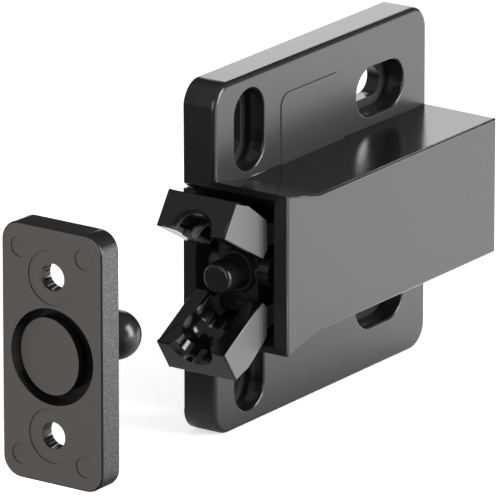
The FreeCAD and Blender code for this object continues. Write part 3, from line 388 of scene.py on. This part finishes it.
        # Painted light: the faces that look across take that speckled lighter colour.
        painted_light_mix = nodes.new("ShaderNodeMix")
        painted_light_mix.data_type = "RGBA"
        sheen = nodes.new("ShaderNodeMix")
        sheen.data_type = "FLOAT"
        sheen.inputs["B"].default_value = self.flat_roughness
        links.new(surface.outputs["Normal"], apart.inputs["Vector"])
        links.new(apart.outputs[Axis.ACROSS.value], size.inputs[0])
        links.new(size.outputs[0], painted_facing_mask.inputs["Value"])
        links.new(specks, painted_glints.inputs["Factor"])
        links.new(painted_facing_mask.outputs["Result"], painted_light_mix.inputs["Factor"])
        links.new(painted_facing_mask.outputs["Result"], sheen.inputs["Factor"])
        links.new(colour, painted_light_mix.inputs["A"])
        links.new(painted_glints.outputs["Result"], painted_light_mix.inputs["B"])
        links.new(roughness, sheen.inputs["A"])
        return painted_light_mix.outputs["Result"], sheen.outputs["Result"]


@dataclass(frozen=True)
class Metal:
    """A steel finish.

    Attributes:
        slot: The record's slot that it finishes.
        colour: Linear base colour.
        roughness: Mean roughness.
        line_depth: Depth of the drawn lines, in metres.
    """

    slot: Slot
    colour: tuple[float, float, float]
    roughness: float
    line_depth: float = 0.000008

    def material(self) -> bpy.types.Material:
        """Build the material, or find it when it was built before.

        Returns:
            The node material.
        """
        found = bpy.data.materials.get(f"finish_{self.slot.value}")
        if found:
            return found
        made = bpy.data.materials.new(f"finish_{self.slot.value}")
        made.use_nodes = True
        nodes, links = made.node_tree.nodes, made.node_tree.links
        shader = nodes["Principled BSDF"]
        shader.inputs["Metallic"].default_value = 1.0
        shader.inputs["Base Color"].default_value = (*self.colour, 1.0)
        place = nodes.new("ShaderNodeTexCoord")
        cloud = nodes.new("ShaderNodeGroup")
        cloud.node_tree = ShaderGroups.cloud()
        cloud.inputs["Size per metre"].default_value = 900.0
        cloud.inputs["Spread"].default_value = 0.6
        gloss = nodes.new("ShaderNodeMath")
        gloss.operation = "MULTIPLY"
        gloss.inputs[1].default_value = self.roughness
        grain = nodes.new("ShaderNodeGroup")
        grain.node_tree = ShaderGroups.grain()
        grain.inputs["Size per metre"].default_value = 9000.0
        bump = nodes.new("ShaderNodeBump")
        bump.inputs["Distance"].default_value = self.line_depth
        for texture in (grain, cloud):
            links.new(place.outputs["Object"], texture.inputs["Vector"])
        links.new(cloud.outputs["Factor"], gloss.inputs[0])
        links.new(gloss.outputs[0], shader.inputs["Roughness"])
        links.new(grain.outputs["Height"], bump.inputs["Height"])
        links.new(bump.outputs["Normal"], shader.inputs["Normal"])
        return made


FINISHES: dict[Slot, Plastic | Metal] = {
    # Painted light: the housing's faces that look across take a lighter colour that lifts their shaded
    # parts; their 0.3 roughness is a satin finish.
    Slot.HOUSING: Plastic(Slot.HOUSING, (0.01, 0.01, 0.0098), 0.18, grain_depth=0.000012,
                          flat=(0.03, 0.03, 0.029), flat_roughness=0.3),
    # Painted reflection: the strike's front faces take a light brown-grey for the bright room they
    # mirror; painted light and glints on its sides.
    Slot.STRIKE: Plastic(Slot.STRIKE, (0.009, 0.009, 0.0088), 0.18, grain_per_metre=6000.0,
                         grain_depth=0.00001, flat=(0.112, 0.103, 0.095), flat_axis=Axis.ALONG,
                         flat_until=-67.6 * MM, side=(0.06, 0.06, 0.059)),
    # Painted reflection: the stud's front faces take the same light brown-grey as the strike's front.
    Slot.STUD: Plastic(Slot.STUD, (0.008, 0.008, 0.008), 0.24, grain_depth=0.000004,
                       flat=(0.118, 0.108, 0.1), flat_axis=Axis.ALONG, flat_until=-66.3 * MM),
    # Painted light: the jaws' faces that look across take a light grey for the light on those sides.
    Slot.JAW: Plastic(Slot.JAW, (0.005, 0.005, 0.0052), 0.14, grain_depth=0.000002, pit_shade=0.0,
                      flat=(0.106, 0.108, 0.109)),
    Slot.CARRIAGE: Plastic(Slot.CARRIAGE, (0.011, 0.011, 0.011), 0.22, grain_depth=0.000003,
                           pit_shade=0.0),
    Slot.PLUNGER: Plastic(Slot.PLUNGER, (0.01, 0.01, 0.01), 0.22, grain_depth=0.000003,
                          pit_shade=0.0),
    Slot.SPRING: Metal(Slot.SPRING, (0.55, 0.55, 0.56), 0.28),
    Slot.PIN: Metal(Slot.PIN, (0.6, 0.6, 0.61), 0.3),
    Slot.SCREW: Metal(Slot.SCREW, (0.12, 0.12, 0.125), 0.4),
}


def deselect_all() -> None:
    """Leave nothing selected."""
    bpy.ops.object.select_all(action="DESELECT")


def activate(piece: bpy.types.Object) -> None:
    """Make a piece the only selected and the active one."""
    deselect_all()
    piece.select_set(True)
    bpy.context.view_layer.objects.active = piece


def apply_bevel(piece: bpy.types.Object, width: float, segments: int, angle: float) -> None:
    """Round the piece's edges that are sharper than an angle.

    Args:
        piece: The piece.
        width: Width of the rounding, in metres.
        segments: Faces across the rounding.
        angle: Least angle between faces, in degrees.
    """
    activate(piece)
    bevel = piece.modifiers.new("edges", "BEVEL")
    bevel.width = width
    bevel.segments = segments
    bevel.limit_method = "ANGLE"
    bevel.angle_limit = math.radians(angle)
    bevel.use_clamp_overlap = True
    bpy.ops.object.modifier_apply(modifier=bevel.name)


def round_long_edges(piece: bpy.types.Object, width: float, least: float,
                     angle: float = 40.0) -> None:
    """Round the long sharp edges of a piece and leave the short ones of its curves.

    Args:
        piece: The piece.
        width: Width of the rounding, in metres.
        least: Least length of an edge that is rounded.
        angle: Least angle between its faces, in degrees.
    """
    activate(piece)
    bpy.context.tool_settings.mesh_select_mode = (False, True, False)
    bpy.ops.object.mode_set(mode="EDIT")
    bpy.ops.mesh.select_all(action="DESELECT")
    bpy.ops.object.mode_set(mode="OBJECT")
    mesh = piece.data
    normals: dict[tuple[int, int], list[Vector]] = {}
    for polygon in mesh.polygons:
        for key in polygon.edge_keys:
            normals.setdefault(key, []).append(polygon.normal)
    for edge in mesh.edges:
        pair = normals.get(edge.key, [])
        first, second = (mesh.vertices[corner].co for corner in edge.vertices)
        if len(pair) == 2 and (first - second).length > least:
            edge.select = pair[0].angle(pair[1], 0.0) > math.radians(angle)
    bpy.ops.object.mode_set(mode="EDIT")
    bpy.ops.mesh.bevel(offset=width, segments=3, affect="EDGES", clamp_overlap=False)
    bpy.ops.object.mode_set(mode="OBJECT")


def add_rod(name: str, middle: Vector, radius: float, length: float, axis: Axis,
            sides: int = 96) -> bpy.types.Object:
    """Add a plain cylinder along one axis, with its place in the mesh.

    Args:
        name: The new piece's name.
        middle: The middle of the cylinder.
        radius: Its radius, in metres.
        length: Its length, in metres.
        axis: The axis that it lies along.
        sides: Faces round it.

    Returns:
        The new piece.
    """
    quarter = math.pi / 2
    turn = (0.0, quarter, 0.0) if axis is Axis.ACROSS else (quarter, 0.0, 0.0)
    deselect_all()
    bpy.ops.mesh.primitive_cylinder_add(vertices=sides, radius=radius, depth=length,
                                        location=middle, rotation=turn)
    piece = bpy.context.view_layer.objects.active
    piece.name = name
    piece.data.name = name
    bpy.ops.object.transform_apply(location=True, rotation=True, scale=True)
    return piece


def pick_cap(piece: bpy.types.Object, place: float) -> None:
    """Go into edit mode with only the face at one X place selected.

    Args:
        piece: The piece.
        place: The face's X, in metres.
    """
    activate(piece)
    bpy.context.tool_settings.mesh_select_mode = (False, False, True)
    bpy.ops.object.mode_set(mode="EDIT")
    bpy.ops.mesh.select_all(action="DESELECT")
    bpy.ops.object.mode_set(mode="OBJECT")
    for polygon in piece.data.polygons:
        polygon.select = abs(polygon.center.x - place) < MERGE_DISTANCE
    bpy.ops.object.mode_set(mode="EDIT")


def join_solid(piece: bpy.types.Object, tool: bpy.types.Object, way: str = "DIFFERENCE") -> None:
    """Cut a tool out of a piece or fuse it on, and take the tool away.

    Args:
        piece: The piece.
        tool: The tool, which is removed.
        way: DIFFERENCE to cut, UNION to fuse.
    """
    activate(piece)
    cut = piece.modifiers.new("cut", "BOOLEAN")
    cut.operation = way
    cut.solver = "EXACT"
    cut.object = tool
    bpy.ops.object.modifier_apply(modifier=cut.name)
    bpy.data.objects.remove(tool, do_unlink=True)


def flat_groups(mesh: bpy.types.Mesh) -> list[list[int]]:
    """Find the broad flat faces of a mesh, which may be cut into many triangles.

    Args:
        mesh: The mesh.

    Returns:
        For each flat face its polygons' indices, without the narrow strips of curved faces.
    """
    sides: dict[tuple[int, int], list[int]] = {}
    for polygon in mesh.polygons:
        for key in polygon.edge_keys:
            sides.setdefault(key, []).append(polygon.index)
    normals = [polygon.normal.copy() for polygon in mesh.polygons]
    beside: list[list[int]] = [[] for _ in mesh.polygons]
    for pair in sides.values():
        if len(pair) == 2 and normals[pair[0]].dot(normals[pair[1]]) > COPLANAR:
            beside[pair[0]].append(pair[1])
            beside[pair[1]].append(pair[0])
    broad = []
    seen: set[int] = set()
    for start in range(len(mesh.polygons)):
        if start in seen:
            continue
        seen.add(start)
        group = [start]
        for index in group:
            fresh = [other for other in beside[index] if other not in seen]
            seen.update(fresh)
            group.extend(fresh)
        members = set(group)
        area = sum(mesh.polygons[index].area for index in group)
        rim = 0.0
        for index in group:
            for key in mesh.polygons[index].edge_keys:
                if not all(other in members for other in sides[key]) or len(sides[key]) < 2:
                    first, second = (mesh.vertices[corner].co for corner in key)
                    rim += (first - second).length
        if area > FLAT_SPAN * rim:
            broad.append(group)
    return broad


def smooth(piece: bpy.types.Object, angle: float = 30.0) -> None:
    """Shade a piece's curved faces smooth and its broad flat faces flat.

    Args:
        piece: The piece.
        angle: Least angle of an edge that stays sharp, in degrees.
    """
    activate(piece)
    bpy.ops.object.shade_smooth_by_angle(angle=math.radians(angle))
    for group in flat_groups(piece.data):
        for index in group:
            piece.data.polygons[index].use_smooth = False


def dress(piece: bpy.types.Object, slot: Slot) -> None:
    """Give a piece one finish all over."""
    piece.data.materials.clear()
    piece.data.materials.append(FINISHES[slot].material())


@dataclass
class Frame:
    """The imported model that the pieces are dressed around."""

    nodes: dict[str, bpy.types.Object]

    def repaint(self, node: str, slot: Slot) -> None:
        """Give a CAD node that stays in view its finish."""
        for place in self.nodes[node].material_slots:
            place.material = FINISHES[slot].material()

    def skin(self, node: str, name: str, slot: Slot, body: Body, rounding: float = 0.0,
             least: float = 0.0, angle: float = 30.0,
             finished: bool = True) -> bpy.types.Object:
        """Make a merged and rounded copy of a CAD node that stands for it.

        Args:
            node: The CAD node.
            name: The new piece's name.
            slot: Its finish.
            body: The body that it rides on.
            rounding: Width of the rounding on its long sharp edges, in metres.
            least: Least length of such an edge.
            angle: Greatest angle that is shaded smooth, in degrees.
            finished: Whether it is shaded now, and not after further cuts.

        Returns:
            The new piece.
        """
        source = self.nodes[node]
        activate(source)
        bpy.ops.object.duplicate()
        piece = bpy.context.view_layer.objects.active
        piece.parent = None
        piece.name = name
        piece.data.name = name
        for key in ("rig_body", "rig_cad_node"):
            if key in piece:
                del piece[key]
        bpy.ops.object.mode_set(mode="EDIT")
        bpy.ops.mesh.select_all(action="SELECT")
        bpy.ops.mesh.remove_doubles(threshold=MERGE_DISTANCE)
        if rounding:
            bpy.ops.mesh.dissolve_limited(angle_limit=math.radians(1.0))
        bpy.ops.object.mode_set(mode="OBJECT")
        if rounding:
            round_long_edges(piece, rounding, least)
        if finished:
            smooth(piece, angle)
        dress(piece, slot)
        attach(piece, body.value)
        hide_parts(node)
        LOG.info("%s stands for %s, %d faces", name, node, len(piece.data.polygons))
        return piece

    def coil(self, node: str, name: str, body: Body, joint: str, travel: float) -> None:
        """Make a merged copy of a coil spring that rides on one body, with a mesh of its own.

        Args:
            node: The CAD spring.
            name: The new piece's name.
            body: The body that its far end rests on.
            joint: Not used.
            travel: Not used.
        """
        piece = self.skin(node, name, Slot.SPRING, body)
        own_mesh(piece)


@dataclass(frozen=True)
class CoverScrew:
    """A small screw with a slotted cheese head.

    Attributes:
        shank_radius: Radius of the shank, in metres.
        head_height: Height of the head.
        tip_length: Length of the tapered tip.
        drive_width: Width of the driving slot.
        drive_depth: Depth of the driving slot.
        edge: Rounding of the edges.
    """

    shank_radius: float = 1.0 * MM
    head_height: float = 0.9 * MM
    tip_length: float = 0.5 * MM
    drive_width: float = 0.5 * MM
    drive_depth: float = 0.45 * MM
    edge: float = 0.14 * MM

    def build(self, number: int) -> None:
        """Turn one screw, mill its slot and put it in its bore.

        Args:
            number: The screw's number, from 1 to 4.
        """
        low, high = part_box(f"cover_screw_{number}")
        middle = (low + high) / 2
        radius = (high.y - low.y) / 2
        screw = add_rod(f"lid_screw_{number}",
                        Vector((low.x + self.head_height / 2, middle.y, middle.z)),
                        radius, self.head_height, Axis.ACROSS, 48)
        run = high.x - low.x - self.head_height - self.tip_length
        pick_cap(screw, low.x + self.head_height)
        bpy.ops.mesh.inset(thickness=radius - self.shank_radius)
        bpy.ops.mesh.extrude_region_move(TRANSFORM_OT_translate={"value": (run, 0.0, 0.0)})
        bpy.ops.mesh.extrude_region_move(TRANSFORM_OT_translate={"value": (self.tip_length, 0.0, 0.0)})
        bpy.ops.transform.resize(value=(1.0, 0.6, 0.6),
                                 center_override=(high.x, middle.y, middle.z))
        bpy.ops.object.mode_set(mode="OBJECT")
        apply_bevel(screw, self.edge, 3, 60.0)
        deselect_all()
        bpy.ops.mesh.primitive_cube_add(size=1.0, location=(low.x, middle.y, middle.z))
        cutter = bpy.context.view_layer.objects.active
        cutter.scale = (self.drive_depth * 2, radius * 4, self.drive_width)
        bpy.ops.object.transform_apply(location=True, rotation=True, scale=True)
        join_solid(screw, cutter)
        smooth(screw, 40.0)
        dress(screw, Slot.SCREW)
        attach(screw, Body.LATCH.value)
        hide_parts(f"cover_screw_{number}")
        LOG.info("%s is turned", screw.name)


@dataclass
class Catch:
    """The housing, its back cover and the cover's screws.

    Attributes:
        housing_edge: Rounding on the housing's long sharp edges, in metres.
        long_edge: Least length of such an edge.
        carriage_travel: How far the carriage goes in.
    """

    frame: Frame
    housing_edge: float = 0.14 * MM
    long_edge: float = 8.0 * MM
    carriage_travel: float = 10.5 * MM

    def build(self) -> None:
        """Make every piece of the catch that stays still."""
        self.frame.skin("housing", "moulded_housing", Slot.HOUSING, Body.LATCH,
                        rounding=self.housing_edge, least=self.long_edge, angle=40.0)
        self.frame.skin("back_cover", "box_lid", Slot.HOUSING, Body.LATCH)
        for number in range(1, 5):
            CoverScrew().build(number)
        for node in ("cam_follower", "follower_pivot", "spring_guide"):
            self.frame.repaint(node, Slot.PIN)
        self.frame.coil("main_spring", "carriage_return_coil", Body.LATCH, "carriage_slide",
                        self.carriage_travel)


@dataclass
class Mechanism:
    """The carriage with its plunger, and the jaws with their pins and springs.

    Attributes:
        jaw_edge: Rounding on the jaws' long sharp edges, in metres.
        long_edge: Least length of such an edge.
        pin_end: Rounding of a pin's ends.
        plunger_edge: Rounding round the plunger's face.
        plunger_travel: How far the plunger goes in.
        pin_play: Play of the plunger's pin in its slot.
    """

    frame: Frame
    jaw_edge: float = 0.2 * MM
    long_edge: float = 1.6 * MM
    pin_end: float = 0.25 * MM
    plunger_edge: float = 0.7 * MM
    plunger_travel: float = 2.6 * MM
    pin_play: float = 0.1 * MM

    def build(self) -> None:
        """Make every piece that moves in the box."""
        self.frame.skin("carriage", "sliding_carriage", Slot.CARRIAGE, Body.CARRIAGE)
        self.turn_plunger()
        self.turn_pin("plunger_pin", "plunger_cross_pin")
        self.frame.coil("plunger_spring", "plunger_return_coil", Body.CARRIAGE, "plunger_slide",
                        self.plunger_travel)
        for side, body in (("upper", Body.UPPER_JAW), ("lower", Body.LOWER_JAW)):
            self.frame.skin(f"{side}_jaw", f"{side}_jaw_moulding", Slot.JAW, body,
                            rounding=self.jaw_edge, least=self.long_edge, angle=50.0)
            self.turn_pin(f"{side}_jaw_pin", f"{side}_jaw_axle")
            self.frame.repaint(f"{side}_jaw_spring", Slot.SPRING)

    def turn_pin(self, node: str, name: str) -> None:
        """Turn a plain steel pin with rounded ends.

        Args:
            node: The CAD pin.
            name: The new piece's name.
        """
        low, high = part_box(node)
        pin = add_rod(name, (low + high) / 2, (high.z - low.z) / 2, high.x - low.x, Axis.ACROSS, 64)
        apply_bevel(pin, self.pin_end, 4, 60.0)
        smooth(pin)
        dress(pin, Slot.PIN)
        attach(pin, Body.CARRIAGE.value)
        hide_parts(node)
        LOG.info("%s stands for %s", name, node)

    def turn_plunger(self) -> None:
        """Turn the plunger in one clean cylinder and mill the slot for its pin."""
        low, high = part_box("plunger")
        pin_low, pin_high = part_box("plunger_pin")
        radius = (high.x - low.x) / 2
        plunger = add_rod("round_plunger", (low + high) / 2, radius, high.y - low.y, Axis.ALONG)
        apply_bevel(plunger, self.plunger_edge, 6, 60.0)
        pin_middle = (pin_low + pin_high) / 2
        slot = add_rod("pin_slot_tool", pin_middle, (pin_high.z - pin_low.z) / 2 + self.pin_play,
                       radius * 4, Axis.ACROSS)
        for corner in slot.data.vertices:
            if corner.co.y < pin_middle.y:
                corner.co.y -= self.plunger_travel
        join_solid(plunger, slot)
        smooth(plunger)
        dress(plunger, Slot.PLUNGER)
        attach(plunger, Body.PLUNGER.value)
        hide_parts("plunger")
        LOG.info("%s is turned", plunger.name)


@dataclass
class Strike:
    """The strike plate and the ball stud that floats in it.

    Attributes:
        hole_middle: Middle of the hole that the stud's neck stands through.
        hole_radius: Radius of that hole, in metres.
        floor_thickness: Thickness of the pocket's floor round it.
        plug_radius: Radius of the fresh floor that the hole is bored in.
    """

    frame: Frame
    hole_middle: Vector = field(default_factory=lambda: Vector((8.1, -65.0, -0.6)) * MM)
    hole_radius: float = 3.5 * MM
    floor_thickness: float = 1.18 * MM
    plug_radius: float = 4.8 * MM

    def build(self) -> None:
        """Make both pieces of the strike."""
        plate = self.frame.skin("strike_plate", "strike_moulding", Slot.STRIKE, Body.STRIKE,
                                finished=False)
        plug = add_rod("floor_plug", self.hole_middle, self.plug_radius, self.floor_thickness,
                       Axis.ALONG)
        join_solid(plate, plug, "UNION")
        bore = add_rod("neck_bore", self.hole_middle, self.hole_radius, self.floor_thickness * 4,
                       Axis.ALONG)
        join_solid(plate, bore, "DIFFERENCE")
        smooth(plate)
        self.frame.skin("ball_stud", "ball_headed_stud", Slot.STUD, Body.STUD)


@dataclass(frozen=True)
class Softbox:
    """An area lamp that the camera doesn't see.

    Attributes:
        name: The lamp's name.
        direction: From the middle of the picture towards the lamp.
        power: Its power in watts.
        width: Its width, in metres.
        height: Its height, in metres.
        distance: How far it stands off, in metres.
    """

    name: str
    direction: tuple[float, float, float]
    power: float
    width: float
    height: float
    distance: float


@dataclass
class Studio:
    """Camera, lamps, pale floor and white surroundings.

    Attributes:
        room_glow: Brightness of the surroundings, as the object sees them.
        back_glow: Their brightness behind the object.
        floor_painted_glow: Brightness of the painted light that the floor gives off beyond the object,
            to rays other than the camera's.
    """

    azimuth: float = 34.9
    elevation: float = 17.6
    distance: float = 1.243
    lens: float = 659.1
    target: Vector = field(default_factory=lambda: Vector((8.75, -22.5, 2.48)) * MM)
    floor_side: float = 8.0
    floor_height: float = -24.55 * MM
    room_glow: float = 0.4
    back_glow: float = 0.08
    floor_painted_glow: float = 2.08
    lamps: tuple[Softbox, ...] = (
        Softbox("side_lamp", (0.9, 0.28, 0.3), 7.0, 0.3, 0.6, 0.7),
        Softbox("front_lamp", (0.1, -0.95, 0.25), 2.6, 0.5, 0.5, 0.7),
        Softbox("rim_card", (-0.053, 0.114, 0.048), 0.024, 0.07, 0.05, 0.134),
    )

    def camera(self) -> None:
        """Stand the camera where the photograph was taken from."""
        turn = math.radians(self.azimuth)
        rise = math.radians(self.elevation)
        forward = Vector((-math.sin(turn) * math.cos(rise), math.cos(turn) * math.cos(rise),
                          -math.sin(rise)))
        data = bpy.data.cameras.new("photo_camera")
        data.lens = self.lens
        data.sensor_width = 36.0
        data.clip_end = 20.0
        camera = bpy.data.objects.new("photo_camera", data)
        bpy.context.scene.collection.objects.link(camera)
        camera.location = self.target - forward * self.distance
        camera.rotation_euler = forward.to_track_quat("-Z", "Y").to_euler()
        bpy.context.scene.camera = camera

    def light(self) -> None:
        """Hang the soft lamps round the object."""
        for lamp in self.lamps:
            data = bpy.data.lights.new(lamp.name, "AREA")
            data.shape = "RECTANGLE"
            data.size = lamp.width
            data.size_y = lamp.height
            data.energy = lamp.power
            holder = bpy.data.objects.new(lamp.name, data)
            bpy.context.scene.collection.objects.link(holder)
            holder.visible_camera = False
            away = Vector(lamp.direction).normalized()
            holder.location = self.target + away * lamp.distance
            holder.rotation_euler = (-away).to_track_quat("-Z", "Y").to_euler()

    def surroundings(self) -> None:
        """Make the world a soft light that looks white to the camera and in reflections."""
        world = bpy.data.worlds.new("white_room")
        bpy.context.scene.world = world
        world.use_nodes = True
        nodes, links = world.node_tree.nodes, world.node_tree.links
        background = nodes["Background"]
        background.inputs["Color"].default_value = (1.0, 1.0, 1.0, 1.0)
        place = nodes.new("ShaderNodeTexCoord")
        behind = nodes.new("ShaderNodeVectorMath")
        behind.operation = "DOT_PRODUCT"
        behind.inputs[1].default_value = (-0.5, 0.82, 0.28)
        glow = nodes.new("ShaderNodeMapRange")
        glow.inputs["From Min"].default_value = 0.4
        glow.inputs["From Max"].default_value = 0.85
        glow.inputs["To Min"].default_value = self.room_glow
        glow.inputs["To Max"].default_value = self.back_glow
        path = nodes.new("ShaderNodeLightPath")
        seen = nodes.new("ShaderNodeMix")
        seen.data_type = "FLOAT"
        seen.inputs["B"].default_value = 1.0
        links.new(place.outputs["Generated"], behind.inputs[0])
        links.new(behind.outputs["Value"], glow.inputs["Value"])
        links.new(path.outputs["Is Camera Ray"], seen.inputs["Factor"])
        links.new(glow.outputs["Result"], seen.inputs["A"])
        links.new(seen.outputs["Result"], background.inputs["Strength"])

    def floor(self) -> None:
        """Lay a pale floor that keeps the object's shadow for the camera, and gives off painted light,
        with painted shadow near the object, to other rays.
        """
        deselect_all()
        bpy.ops.mesh.primitive_plane_add(size=self.floor_side, location=(0.0, 0.0, self.floor_height))
        floor = bpy.context.view_layer.objects.active
        floor.name = "studio_floor"
        made = bpy.data.materials.new("pale_floor")
        made.use_nodes = True
        nodes, links = made.node_tree.nodes, made.node_tree.links
        shader = nodes["Principled BSDF"]
        shader.inputs["Base Color"].default_value = (0.9, 0.9, 0.9, 1.0)
        shader.inputs["Roughness"].default_value = 0.9
        shader.inputs["Specular IOR Level"].default_value = 0.0
        shader.inputs["Emission Color"].default_value = (1.0, 1.0, 1.0, 1.0)
        path = nodes.new("ShaderNodeLightPath")
        place = nodes.new("ShaderNodeTexCoord")
        # Painted light: the floor's glow to rays other than the camera's rises along this direction
        # into a pool beyond the object.
        beyond = nodes.new("ShaderNodeVectorMath")
        beyond.operation = "DOT_PRODUCT"
        beyond.inputs[1].default_value = (0.35, 0.94, 0.0)
        painted_floor_pool = nodes.new("ShaderNodeMapRange")
        painted_floor_pool.inputs["From Min"].default_value = -0.045
        painted_floor_pool.inputs["From Max"].default_value = 0.012
        painted_floor_pool.inputs["To Min"].default_value = 0.08
        painted_floor_pool.inputs["To Max"].default_value = self.floor_painted_glow
        # Painted shadow: ambient occlusion darkens that glow near the object.
        painted_contact_shadow = nodes.new("ShaderNodeAmbientOcclusion")
        painted_contact_shadow.samples = 4
        painted_contact_shadow.inputs["Distance"].default_value = 0.13
        pool_with_painted_shadow = nodes.new("ShaderNodeMath")
        pool_with_painted_shadow.operation = "MULTIPLY"
        # The camera sees the floor pale; other rays see a dark grey floor that gives off the painted
        # glow.
        glow = nodes.new("ShaderNodeMix")
        glow.data_type = "FLOAT"
        glow.inputs["B"].default_value = 0.6
        tone = nodes.new("ShaderNodeMix")
        tone.data_type = "RGBA"
        tone.inputs["A"].default_value = (0.13, 0.13, 0.13, 1.0)
        tone.inputs["B"].default_value = (0.9, 0.9, 0.9, 1.0)
        links.new(place.outputs["Object"], beyond.inputs[0])
        links.new(beyond.outputs["Value"], painted_floor_pool.inputs["Value"])
        links.new(path.outputs["Is Camera Ray"], glow.inputs["Factor"])
        links.new(path.outputs["Is Camera Ray"], tone.inputs["Factor"])
        links.new(painted_floor_pool.outputs["Result"], pool_with_painted_shadow.inputs[0])
        links.new(painted_contact_shadow.outputs["AO"], pool_with_painted_shadow.inputs[1])
        links.new(pool_with_painted_shadow.outputs[0], glow.inputs["A"])
        links.new(glow.outputs["Result"], shader.inputs["Emission Strength"])
        links.new(tone.outputs["Result"], shader.inputs["Base Color"])
        floor.data.materials.append(made)

    def build(self) -> None:
        """Set the whole studio up."""
        bpy.context.scene.view_settings.view_transform = "Standard"
        self.camera()
        self.light()
        self.surroundings()
        self.floor()


def main() -> None:
    """Load the frame and dress every piece."""
    logging.basicConfig(level=logging.INFO, format="%(message)s")
    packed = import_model()
    deselect_all()
    frame = Frame(packed["nodes"])
    Studio().build()
    for assembly in (Catch(frame), Mechanism(frame), Strike(frame)):
        assembly.build()
        LOG.info("%s is dressed", type(assembly).__name__)


if __name__ == "__main__":
    main()
